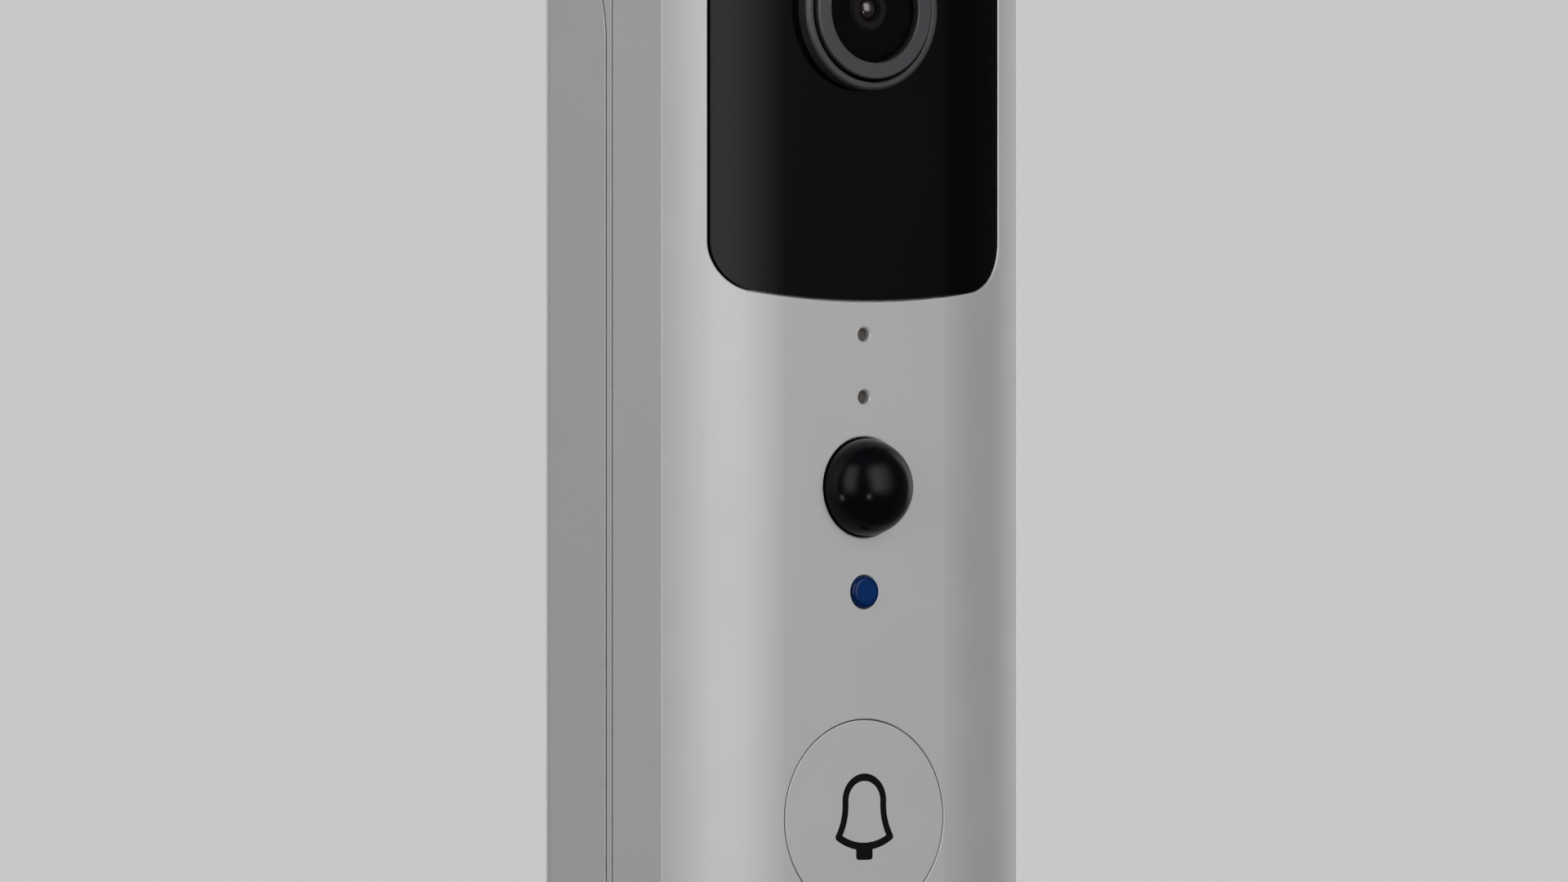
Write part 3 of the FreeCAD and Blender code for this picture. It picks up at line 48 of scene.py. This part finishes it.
# ---------------------------------------------------------------- how a finish is put together
class Finish:
    """A node material whose fine detail is laid out in the object's own frame, in metres."""

    def __init__(self, name, colour, roughness, **shader):
        self.material = bpy.data.materials.new(name)
        self.material.use_nodes = True
        self.tree = self.material.node_tree
        self.shader = self.tree.nodes["Principled BSDF"]
        self.material.diffuse_color = (*colour, 1)
        self.set("Base Color", (*colour, 1))
        self.set("Roughness", roughness)
        for socket, value in shader.items():
            self.set(socket.replace("_", " "), value)
        self.place = self.add("ShaderNodeTexCoord").outputs["Object"]
        self.height = None

    def set(self, socket, value):
        """A constant or another node's output, on one of the shader's sockets."""
        self.feed(self.shader.inputs[socket], value)

    def feed(self, socket, value):
        if isinstance(value, bpy.types.NodeSocket):
            self.tree.links.new(value, socket)
        else:
            socket.default_value = value

    def add(self, kind, **settings):
        node = self.tree.nodes.new(kind)
        for key, value in settings.items():
            setattr(node, key, value)
        return node

    def maths(self, operation, *values):
        node = self.add("ShaderNodeMath", operation=operation)
        for socket, value in zip(node.inputs, values):
            self.feed(socket, value)
        return node.outputs[0]

    def span(self, value, low, high, to_low=0.0, to_high=1.0):
        """Maps low..high to to_low..to_high and clamps."""
        node = self.add("ShaderNodeMapRange")
        for socket, number in zip(node.inputs, (value, low, high, to_low, to_high)):
            self.feed(socket, number)
        return node.outputs[0]

    def blend(self, share, first, second):
        """The first colour where share is 0 and the second where it is 1."""
        node = self.add("ShaderNodeMix", data_type="RGBA")
        self.feed(node.inputs[0], share)
        for socket, colour in zip(node.inputs[6:8], (first, second)):
            self.feed(socket, colour if isinstance(colour, bpy.types.NodeSocket) else (*colour, 1))
        return node.outputs[2]

    def about(self, centre):
        """Coordinates measured from a point."""
        node = self.add("ShaderNodeVectorMath", operation="SUBTRACT")
        self.feed(node.inputs[0], self.place)
        node.inputs[1].default_value = centre
        return node.outputs[0]

    def axis(self, letter):
        """One coordinate of the object's own frame."""
        node = self.add("ShaderNodeSeparateXYZ")
        self.feed(node.inputs[0], self.place)
        return node.outputs[letter]

    def radius(self, centre):
        """Distance from the Y line through a point."""
        flat = self.add("ShaderNodeVectorMath", operation="MULTIPLY")
        self.feed(flat.inputs[0], self.about(centre))
        flat.inputs[1].default_value = (1, 0, 1)
        length = self.add("ShaderNodeVectorMath", operation="LENGTH")
        self.feed(length.inputs[0], flat.outputs[0])
        return length.outputs["Value"]

    def noise(self, size, detail=2.0, stretch=(1, 1, 1)):
        """Soft noise from 0 to 1 with features about that size, stretched along an axis by a factor."""
        spread = self.add("ShaderNodeMapping")
        self.feed(spread.inputs["Vector"], self.place)
        spread.inputs["Scale"].default_value = [1 / (size * s) for s in stretch]
        node = self.add("ShaderNodeTexNoise")
        self.feed(node.inputs["Vector"], spread.outputs[0])
        node.inputs["Scale"].default_value = 1
        node.inputs["Detail"].default_value = detail
        return node.outputs["Fac"]

    def cells(self, size, output="Distance"):
        """Cells about that size: the distance to each one's middle, or a random colour for each."""
        node = self.add("ShaderNodeTexVoronoi")
        self.feed(node.inputs["Vector"], self.place)
        node.inputs["Scale"].default_value = 1 / size
        return node.outputs[output]

    def rings(self, centre, pitch):
        """Uneven concentric lines about the Y line through a point, as a lathe leaves them."""
        node = self.add("ShaderNodeTexNoise", noise_dimensions="1D")
        self.feed(node.inputs["W"], self.maths("DIVIDE", self.radius(centre), pitch))
        node.inputs["Scale"].default_value = 1
        return node.outputs["Fac"]

    def waves(self, value, pitch):
        """A sine of a length, from -1 to 1."""
        return self.maths("SINE", self.maths("MULTIPLY", value, 2 * math.pi / pitch))

    def tint(self, share, low, high):
        """Blends the base colour from low to high."""
        self.set("Base Color", self.blend(share, low, high))

    def vary_roughness(self, share, low, high):
        self.set("Roughness", self.span(share, 0.3, 0.7, low, high))

    def bump(self, share, height):
        """Raises the surface by up to height metres; calls add up."""
        raised = self.maths("MULTIPLY", share, height)
        self.height = raised if self.height is None else self.maths("ADD", self.height, raised)

    def done(self):
        if self.height is not None:
            node = self.add("ShaderNodeBump")
            node.inputs["Distance"].default_value = 1
            self.feed(node.inputs["Height"], self.height)
            self.set("Normal", node.outputs[0])
        return self.material


def shade(colour, factor):
    return tuple(channel * factor for channel in colour)


# ---------------------------------------------------------------- casing finishes
def satin_silver(name, colour):
    """Fine metallic paint on moulded plastic: flakes, a slight orange peel and faint handling marks."""
    f = Finish(name, colour, 0.36, Metallic=0.5)
    flake = f.cells(0.11 * MM, "Color")
    cloud = f.noise(14 * MM, 3)
    light = f.blend(cloud, shade(colour, 0.975), shade(colour, 1.025))
    f.set("Base Color", f.blend(f.span(flake, 0.0, 1.0, 0.0, 0.35), light, shade(colour, 1.14)))
    f.vary_roughness(f.noise(6 * MM, 4), 0.33, 0.39)
    f.bump(f.noise(0.22 * MM, 2), 2.2e-6)
    f.bump(f.noise(1.6 * MM, 1), 2.5e-6)
    return f.done()


def black_window():
    """Gloss black panel: nearly flat, with faint smears that only the roughness shows."""
    f = Finish("gloss_black_window", (0.003, 0.003, 0.0045), 0.06, Specular_IOR_Level=0.15)
    smear = f.noise(5 * MM, 5, (1, 1, 2.5))
    f.vary_roughness(smear, 0.035, 0.1)
    f.tint(f.noise(20 * MM), (0.002, 0.002, 0.003), (0.003, 0.003, 0.0045))
    f.bump(f.noise(18 * MM, 1), 6e-6)
    f.bump(f.noise(0.08 * MM), 5e-8)
    return f.done()


def turned_grey():
    """Dark anodised ring with fine turning marks."""
    colour, roughness = (0.075, 0.075, 0.081), 0.42
    f = Finish("anodised_ring", colour, roughness, Metallic=0.6)
    marks = f.rings(LENS, 0.05 * MM)
    f.tint(marks, shade(colour, 0.85), shade(colour, 1.18))
    f.vary_roughness(f.noise(1.2 * MM, 3), roughness - 0.05, roughness + 0.05)
    f.bump(marks, 2.5e-6)
    f.bump(f.noise(0.06 * MM), 8e-7)
    return f.done()


def clear_glass():
    """Coated cover glass: nearly all light passes, and only a faint reflection stays."""
    f = Finish("coated_cover_glass", (0.01, 0.012, 0.016), 0.0, Alpha=0.06, Specular_IOR_Level=0.3)
    f.vary_roughness(f.noise(2.5 * MM, 4), 0.0, 0.05)
    f.bump(f.noise(3 * MM), 1e-7)
    return f.done()


def barrel_black():
    """Blackened barrel with stray-light grooves in its cone and a paler ring round the small lens."""
    f = Finish("blackened_barrel", (0.003, 0.003, 0.004), 0.7, Specular_IOR_Level=0.05)
    radius = f.radius(LENS)
    near_lens = f.span(radius, SMALL_LENS_RIM - 0.05 * MM, SMALL_LENS_RIM + 0.05 * MM, 1.0, 0.0)
    marks = f.rings(LENS, 0.06 * MM)
    dark = f.blend(marks, (0.0015, 0.0015, 0.002), (0.0025, 0.0025, 0.0035))
    f.set("Base Color", f.blend(near_lens, dark, (0.02, 0.017, 0.02)))
    f.vary_roughness(f.noise(0.5 * MM, 3), 0.62, 0.75)
    groove = f.waves(radius, 0.42 * MM)
    f.bump(f.maths("MULTIPLY", f.maths("SUBTRACT", 1.0, near_lens), groove), 6e-6)
    return f.done()


def coated_lens():
    """Polished lens with a dark purple coating."""
    f = Finish("coated_lens", (0.012, 0.009, 0.02), 0.02, IOR=1.8, Specular_IOR_Level=0.7)
    # The coating's purple turns redder towards the rim: a painted reflection of the coating.
    f.tint(f.span(f.radius(LENS), 0.0, 1.4 * MM), (0.012, 0.006, 0.014), (0.02, 0.006, 0.012))
    f.vary_roughness(f.noise(0.6 * MM, 3), 0.0, 0.02)
    return f.done()


def gloss_dome():
    """Black moulded dome over the motion sensor."""
    f = Finish("gloss_black_dome", (0.003, 0.003, 0.005), 0.2, Specular_IOR_Level=0.17)
    f.vary_roughness(f.noise(2.2 * MM, 4), 0.17, 0.23)
    f.tint(f.noise(4 * MM), (0.002, 0.002, 0.003), (0.004, 0.004, 0.006))
    f.bump(f.noise(0.12 * MM), 4e-7)
    f.bump(f.noise(1.8 * MM, 1), 1.5e-6)
    return f.done()


def blue_light():
    """Blue light guide, a little brighter in its middle, with a fine diffusing texture."""
    f = Finish("blue_light_guide", (0.002, 0.01, 0.09), 0.3, Specular_IOR_Level=0.25)
    edge = f.span(f.radius(STATUS_LIGHT), 0.5 * STATUS_RADIUS, STATUS_RADIUS)
    speckle = f.noise(0.16 * MM, 2)
    middle_blue = f.blend(speckle, (0.002, 0.011, 0.085), (0.003, 0.014, 0.11))
    f.set("Base Color", f.blend(edge, middle_blue, (0.001, 0.006, 0.05)))
    f.set("Emission Color", f.blend(edge, (0.002, 0.02, 0.22), (0.001, 0.008, 0.1)))
    f.set("Emission Strength", 0.1)
    f.vary_roughness(speckle, 0.16, 0.26)
    f.bump(speckle, 3e-6)
    return f.done()


def moulded(name, colour, roughness, grain=0.15, height=4e-6, spread=0.12, **shader):
    """Moulded plastic, paint or rubber with a spark-eroded grain."""
    f = Finish(name, colour, roughness, **shader)
    f.tint(f.noise(3 * MM, 3), shade(colour, 1 - spread), shade(colour, 1 + spread))
    f.vary_roughness(f.noise(0.8 * MM, 3), roughness - 0.05, roughness + 0.06)
    f.bump(f.noise(grain * MM, 2), height)
    f.bump(f.noise(2 * MM, 1), height)
    return f.done()


def foam():
    f = Finish("black_foam", (0.03, 0.03, 0.032), 0.95, Sheen_Weight=0.3, Sheen_Roughness=0.6)
    pore = f.cells(0.35 * MM)
    # The pore hollows are painted darker: a painted shade inside each pore.
    f.tint(f.span(pore, 0.0, 0.6), (0.008, 0.008, 0.009), (0.05, 0.05, 0.053))
    f.bump(pore, 1.2e-4)
    f.bump(f.noise(0.1 * MM, 3), 1e-5)
    return f.done()


# ---------------------------------------------------------------- metals
def brushed(name, colour, roughness, stretch=(12, 1, 1)):
    """Drawn or brushed metal, its scratches running along the stretched axis."""
    f = Finish(name, colour, roughness, Metallic=1.0)
    streak = f.noise(0.05 * MM, 2, stretch)
    f.tint(streak, shade(colour, 0.88), shade(colour, 1.08))
    f.vary_roughness(f.noise(0.9 * MM, 3), roughness - 0.06, roughness + 0.08)
    f.bump(streak, 1.2e-6)
    return f.done()


def copper_windings():
    f = Finish("copper_windings", (0.72, 0.29, 0.12), 0.3, Metallic=1.0, Coat_Weight=0.6)
    wire = f.waves(f.axis("Y"), 0.12 * MM)
    # Each winding is painted lighter on its crest and darker in the grooves between wires: a painted highlight
    # and painted shade that follow the bump.
    f.tint(f.span(wire, -1.0, 1.0), (0.35, 0.12, 0.04), (0.85, 0.36, 0.16))
    f.vary_roughness(f.noise(0.4 * MM), 0.22, 0.36)
    f.bump(wire, 2.5e-5)
    return f.done()


def spring_steel():
    f = Finish("plated_spring_metal", (0.72, 0.7, 0.64), 0.25, Metallic=1.0)
    f.tint(f.noise(0.5 * MM, 4), (0.62, 0.6, 0.53), (0.78, 0.76, 0.7))
    f.vary_roughness(f.noise(0.3 * MM, 3), 0.18, 0.34)
    f.bump(f.noise(0.05 * MM, 2, (1, 8, 1)), 8e-7)
    return f.done()


# ---------------------------------------------------------------- electronics
def circuit_board():
    """Green solder mask over copper tracks, with tinned pads and vias."""
    f = Finish("circuit_board", (0.01, 0.09, 0.04), 0.35, Coat_Weight=0.3, Coat_Roughness=0.15)
    flat = f.add("ShaderNodeCombineXYZ")
    f.feed(flat.inputs[0], f.axis("X"))
    f.feed(flat.inputs[1], f.axis("Z"))
    tracks = f.add("ShaderNodeTexBrick", offset=0.37, squash=1.6, squash_frequency=3)
    f.feed(tracks.inputs["Vector"], flat.outputs[0])
    tracks.inputs["Scale"].default_value = 1 / (1.1 * MM)
    tracks.inputs["Mortar Size"].default_value = 0.09
    tracks.inputs["Mortar Smooth"].default_value = 0.1
    track = tracks.outputs["Fac"]
    mask = f.blend(f.noise(4 * MM, 3), (0.006, 0.065, 0.03), (0.012, 0.1, 0.045))
    masked = f.blend(track, mask, (0.025, 0.19, 0.07))
    via = f.span(f.cells(1.3 * MM), 0.17, 0.2, 1.0, 0.0)
    f.set("Base Color", f.blend(via, masked, (0.62, 0.5, 0.25)))
    f.set("Metallic", via)
    f.vary_roughness(f.noise(0.7 * MM, 3), 0.26, 0.42)
    f.bump(track, 2.5e-5)
    f.bump(via, 2e-5)
    return f.done()


def chip_epoxy():
    """Black moulded package with a mottled tone, and a round mark in one corner."""
    f = Finish("chip_epoxy", (0.02, 0.02, 0.021), 0.6)
    dot_place = (CHIP_LOW.x + 1.2 * MM, CHIP_LOW.y, CHIP_HIGH.z - 1.2 * MM)
    dot = f.span(f.radius(dot_place), 0.4 * MM, 0.45 * MM, 1.0, 0.0)
    tone = f.blend(f.noise(0.3 * MM, 3), (0.014, 0.014, 0.015), (0.028, 0.028, 0.03))
    f.set("Base Color", f.blend(dot, tone, (0.06, 0.06, 0.06)))
    f.vary_roughness(f.noise(0.12 * MM, 2), 0.5, 0.68)
    f.bump(f.noise(0.06 * MM, 2), 3e-6)
    f.bump(dot, -4e-5)
    return f.done()


def small_components():
    """Capacitors in tan, inductors in dark grey: one tone for each part."""
    f = Finish("small_components", (0.1, 0.07, 0.05), 0.45)
    pick = f.add("ShaderNodeNewGeometry").outputs["Random Per Island"]
    tan = f.blend(f.noise(0.2 * MM, 3), (0.25, 0.16, 0.09), (0.34, 0.23, 0.13))
    grey = f.blend(f.noise(0.15 * MM, 3), (0.02, 0.02, 0.022), (0.05, 0.05, 0.052))
    f.set("Base Color", f.blend(f.maths("GREATER_THAN", pick, TAN_SHARE), tan, grey))
    f.vary_roughness(f.noise(0.3 * MM, 2), 0.35, 0.55)
    f.bump(f.noise(0.08 * MM, 2), 3e-6)
    return f.done()


def polyimide(name, colour):
    """Amber film with copper strips under it."""
    f = Finish(name, colour, 0.3, Coat_Weight=0.4, Coat_Roughness=0.1)
    strip = f.span(f.waves(f.axis("X"), 0.9 * MM), -0.1, 0.1)
    f.set("Base Color", f.blend(strip, colour, shade(colour, 1.7)))
    f.set("Metallic", f.maths("MULTIPLY", strip, 0.55))
    f.vary_roughness(f.noise(0.8 * MM, 2), 0.24, 0.36)
    f.bump(strip, 1.2e-5)
    return f.done()


def sensor_die():
    """Silicon with a fine pixel grid that breaks light into a little colour."""
    f = Finish("sensor_silicon", (0.03, 0.05, 0.06), 0.12, Coat_Weight=0.8, Metallic=0.4)
    grid = f.maths("MULTIPLY", f.waves(f.axis("X"), 0.09 * MM), f.waves(f.axis("Z"), 0.09 * MM))
    # The colour shift across the die is painted: a painted sheen standing in for the grid's rainbow reflection.
    across = f.span(f.axis("X"), -3 * MM, 3 * MM)
    f.set("Base Color", f.blend(across, (0.03, 0.07, 0.06), (0.07, 0.03, 0.09)))
    f.vary_roughness(f.noise(0.5 * MM), 0.08, 0.16)
    f.bump(grid, 4e-6)
    return f.done()


def filter_glass():
    f = Finish("filter_glass", (0.16, 0.4, 0.45), 0.04, Coat_Weight=0.5, Specular_IOR_Level=0.8)
    # The colour running from pink to cyan across the glass is a painted reflection of its coating.
    f.tint(f.span(f.axis("X"), -7 * MM, 3 * MM), (0.35, 0.12, 0.2), (0.1, 0.42, 0.45))
    f.vary_roughness(f.noise(0.7 * MM, 3), 0.02, 0.07)
    return f.done()


def battery_sleeve():
    """Shrunk plastic sleeve with a grey band at the lower end and small wrinkles."""
    f = Finish("battery_sleeve", (0.02, 0.2, 0.11), 0.3, Coat_Weight=0.5, Coat_Roughness=0.12)
    band = f.span(f.axis("Z"), SLEEVE_BAND_TOP - 0.1 * MM, SLEEVE_BAND_TOP + 0.1 * MM, 1.0, 0.0)
    green = f.blend(f.noise(5 * MM, 3), (0.016, 0.17, 0.09), (0.024, 0.23, 0.13))
    f.set("Base Color", f.blend(band, green, (0.12, 0.12, 0.125)))
    f.vary_roughness(f.noise(2 * MM, 3), 0.24, 0.36)
    f.bump(f.noise(1.2 * MM, 3, (1, 1, 6)), 1.5e-5)
    return f.done()


def woven_mesh():
    """Fine dark cloth behind the port holes."""
    f = Finish("woven_port_mesh", (0.03, 0.026, 0.024), 0.7, Sheen_Weight=0.2)
    pitch = 0.14 * MM
    weave = f.maths("MULTIPLY", f.waves(f.axis("X"), pitch), f.waves(f.axis("Z"), pitch))
    # The weave is painted darker in its hollows and lighter on its crests: a painted shade and painted
    # highlight that follow the bump.
    f.tint(f.span(weave, -0.6, 0.8), (0.03, 0.025, 0.022), (0.17, 0.145, 0.125))
    f.vary_roughness(f.noise(0.1 * MM), 0.6, 0.8)
    f.bump(weave, 2e-5)
    return f.done()


FINISHES = {
    "silver_front": satin_silver("satin_silver_front", SILVER),
    "silver_button": satin_silver("satin_silver_button", SILVER),
    "silver_rear": satin_silver("satin_silver_rear", (0.6, 0.6, 0.615)),
    "silver_cover": satin_silver("satin_silver_cover", (0.58, 0.58, 0.595)),
    "seal_rubber": moulded("seal_rubber", (0.02, 0.02, 0.02), 0.7),
    "gasket_rubber": moulded("gasket_rubber", (0.03, 0.03, 0.03), 0.75),
    "clear_silicone": moulded("milky_silicone", (0.45, 0.45, 0.44), 0.4, spread=0.05),
    "foam": foam(),
    "steel_screw": brushed("zinc_plated_screw", (0.58, 0.58, 0.57), 0.32, (1, 1, 1)),
    "black_screw": brushed("black_oxide_screw", (0.06, 0.06, 0.062), 0.4, (1, 1, 1)),
    "black_window": black_window(),
    "adhesive": moulded("black_adhesive", (0.01, 0.01, 0.01), 0.6),
    "ring_grey": turned_grey(),
    "lens_glass": clear_glass(),
    "lens_coated": coated_lens(),
    "lens_black": barrel_black(),
    "filter_glass": filter_glass(),
    "copper_coil": copper_windings(),
    "sensor_die": sensor_die(),
    "circuit_board": circuit_board(),
    "flex_ribbon": polyimide("flex_ribbon", (0.42, 0.17, 0.03)),
    "led_package": moulded("white_led_package", (0.75, 0.75, 0.7), 0.3, spread=0.04),
    "infrared_emitter": moulded("infrared_emitter", (0.05, 0.03, 0.06), 0.12, height=1e-6),
    "icon_black": moulded("icon_inlay", (0.003, 0.003, 0.005), 0.5, 0.1, 2e-6, Specular_IOR_Level=0.15),
    "switch_body": moulded("switch_body", (0.02, 0.02, 0.02), 0.5),
    "switch_red": moulded("red_plunger", (0.45, 0.05, 0.03), 0.4),
    "blue_lens": blue_light(),
    "dome_black": gloss_dome(),
    "metal_can": brushed("nickel_can", (0.62, 0.61, 0.58), 0.3),
    "port_mesh": woven_mesh(),
    "chip_black": small_components(),
    "cell_can": battery_sleeve(),
    "cell_cap": brushed("nickel_cap", (0.66, 0.66, 0.65), 0.25, (1, 1, 1)),
    "contact_metal": spring_steel(),
    "speaker_black": moulded("speaker_frame_plastic", (0.02, 0.02, 0.021), 0.5),
    "speaker_film": moulded("speaker_film", (0.1, 0.1, 0.1), 0.35, 0.4, 8e-6),
    "antenna_film": polyimide("antenna_film", (0.36, 0.15, 0.03)),
    "terminal_green": moulded("terminal_plastic", (0.02, 0.16, 0.06), 0.4),
    "reset_red": moulded("reset_plastic", (0.5, 0.04, 0.03), 0.35),
}
CHIP_FINISH = chip_epoxy()


def dress(node):
    """Gives a CAD node the finish of its material slot."""
    for slot in node.material_slots:
        slot.material = FINISHES[slot.material.name]


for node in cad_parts.values():
    dress(node)
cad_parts["processor_chip"].material_slots[0].material = CHIP_FINISH


# ---------------------------------------------------------------- camera, at the photograph's angle
VIEW_AZIMUTH = math.radians(-36.2)    # the camera stands on the doorbell's left, level with it
FRAME_WIDTH = 163 * MM                # what the picture's width takes in at the object
AIM_RIGHT = -8.36 * MM                # where the picture's middle is, from the front's centre line
AIM_UP = -6.3 * MM
LENS_LENGTH = 300                     # mm, on a 36 mm wide sensor
SENSOR_WIDTH = 36


def compass(azimuth):
    """Unit vector from the object towards that azimuth; 0 is straight in front and -90 on its left."""
    return Vector((math.sin(azimuth), -math.cos(azimuth), 0))


def aim(thing, place, target):
    thing.location = place
    thing.rotation_mode = "QUATERNION"
    thing.rotation_quaternion = (Vector(target) - Vector(place)).to_track_quat("-Z", "Y")


def add_camera():
    data = bpy.data.cameras.new("camera")
    data.lens = LENS_LENGTH
    data.sensor_width = SENSOR_WIDTH
    camera = bpy.data.objects.new("camera", data)
    bpy.context.scene.collection.objects.link(camera)
    back = compass(VIEW_AZIMUTH)
    right = Vector((math.cos(VIEW_AZIMUTH), math.sin(VIEW_AZIMUTH), 0))
    target = Vector((0, FRONT_Y, AIM_UP)) + right * AIM_RIGHT
    aim(camera, target + back * (FRAME_WIDTH * LENS_LENGTH / SENSOR_WIDTH), target)
    bpy.context.scene.camera = camera


# ---------------------------------------------------------------- studio
SURROUND_STRENGTH = 1.15              # what the camera sees
FILL_STRENGTH = 0.14                  # what the object reflects
FLOOR_RADIUS = 4.0                    # metres
FLOOR_DROP = 0.8                      # metres below the doorbell's middle
FLOOR_GLOW = 0.85

# How much of each light fades in from its edges: across it from both sides, then from below and above.
LEFT_SIDES = ((0.4, 0.4), (0.35, 0.35))
FRONT_SIDES = ((0.4, 0.75), (0.35, 0.35))
EVEN_SIDES = ((0.3, 0.3), (0.3, 0.3))
HARD_SIDES = None

# Each light's azimuth, half turn, elevation and half rise in degrees, distance in metres, radiance, edges.
SOFT_BOXES = {
    "left_box": (-68, 22, 18, 40, 0.45, 2.45, LEFT_SIDES),
    "front_box": (7, 38, 18, 40, 0.7, 3.3, FRONT_SIDES),
    "left_lamp": (-92, 2.5, -22, 4, 0.8, 10, HARD_SIDES),
    "front_lamp": (-24, 2.5, -22, 4, 0.8, 10, HARD_SIDES),
    "right_box": (105, 23, 15, 35, 0.9, 0.8, EVEN_SIDES),
    "far_left_box": (-132, 26, 10, 35, 0.9, 0.4, EVEN_SIDES),
    "back_box": (155, 34, 25, 35, 1.0, 2.0, HARD_SIDES),
}


def feather(tree, across, start, end):
    """Fades a share of a light in smoothly from its edge at start towards end."""
    fade = tree.nodes.new("ShaderNodeMapRange")
    fade.interpolation_type = "SMOOTHSTEP"
    tree.links.new(across, fade.inputs["Value"])
    fade.inputs["From Min"].default_value = start
    fade.inputs["From Max"].default_value = end
    return fade.outputs[0]


def feather_edges(data, sides):
    """Softens a rectangular light's edges: how far each fade reaches across it, from low and from high."""
    data.use_nodes = True
    tree = data.node_tree
    place = tree.nodes.new("ShaderNodeNewGeometry").outputs["Parametric"]
    split = tree.nodes.new("ShaderNodeSeparateXYZ")
    tree.links.new(place, split.inputs[0])
    strength = 1.0
    for across, (low, high) in zip(split.outputs, sides):
        for start, end in ((0, low), (1, 1 - high)):
            product = tree.nodes.new("ShaderNodeMath")
            product.operation = "MULTIPLY"
            tree.links.new(feather(tree, across, start, end), product.inputs[0])
            if isinstance(strength, float):
                product.inputs[1].default_value = strength
            else:
                tree.links.new(strength, product.inputs[1])
            strength = product.outputs[0]
    tree.links.new(strength, tree.nodes["Emission"].inputs["Strength"])


def soft_box(name, azimuth, half_turn, elevation, half_rise, distance, radiance, sides):
    """A rectangular light that fills the given angles as seen from the object."""
    data = bpy.data.lights.new(name, "AREA")
    data.shape = "RECTANGLE"
    data.size = 2 * distance * math.tan(math.radians(half_turn))
    data.size_y = 2 * distance * math.tan(math.radians(half_rise))
    data.energy = radiance * math.pi * data.size * data.size_y
    light = bpy.data.objects.new(name, data)
    bpy.context.scene.collection.objects.link(light)
    light.visible_camera = False
    if sides:
        feather_edges(data, sides)
    tilt = math.radians(elevation)
    place = compass(math.radians(azimuth)) * math.cos(tilt) + Vector((0, 0, math.sin(tilt)))
    aim(light, place * distance, (0, 0, 0))


def add_world():
    """A pale surround for the camera, and a much dimmer one for what the object reflects."""
    world = bpy.data.worlds.new("studio")
    bpy.context.scene.world = world
    world.use_nodes = True
    nodes, links = world.node_tree.nodes, world.node_tree.links
    seen = nodes["Background"]
    seen.inputs["Color"].default_value = (*PALE, 1)
    seen.inputs["Strength"].default_value = SURROUND_STRENGTH
    fill = nodes.new("ShaderNodeBackground")
    fill.inputs["Color"].default_value = (1.0, 1.0, 1.0, 1)
    fill.inputs["Strength"].default_value = FILL_STRENGTH
    pick = nodes.new("ShaderNodeLightPath")
    mix = nodes.new("ShaderNodeMixShader")
    links.new(pick.outputs["Is Camera Ray"], mix.inputs[0])
    links.new(fill.outputs[0], mix.inputs[1])
    links.new(seen.outputs[0], mix.inputs[2])
    links.new(mix.outputs[0], nodes["World Output"].inputs["Surface"])


def add_floor():
    """A plain pale floor, below the doorbell as it hangs on a wall. It is clear from underneath."""
    place = (0, 0, -FLOOR_DROP)
    bpy.ops.mesh.primitive_circle_add(vertices=96, radius=FLOOR_RADIUS, fill_type="NGON", location=place)
    floor = bpy.context.object
    floor.name = "floor"
    glow = {"Emission_Color": (*PALE, 1), "Emission_Strength": FLOOR_GLOW}
    f = Finish("pale_floor", (0.8, 0.8, 0.8), 0.8, **glow)
    f.tint(f.noise(300 * MM, 3), (0.79, 0.79, 0.79), (0.81, 0.81, 0.81))
    underneath = f.add("ShaderNodeNewGeometry").outputs["Backfacing"]
    f.set("Alpha", f.maths("SUBTRACT", 1.0, underneath))
    floor.data.materials.append(f.done())
    floor.visible_diffuse = False
    floor.visible_glossy = False


add_camera()
add_world()
add_floor()
for name, settings in SOFT_BOXES.items():
    soft_box(name, *settings)
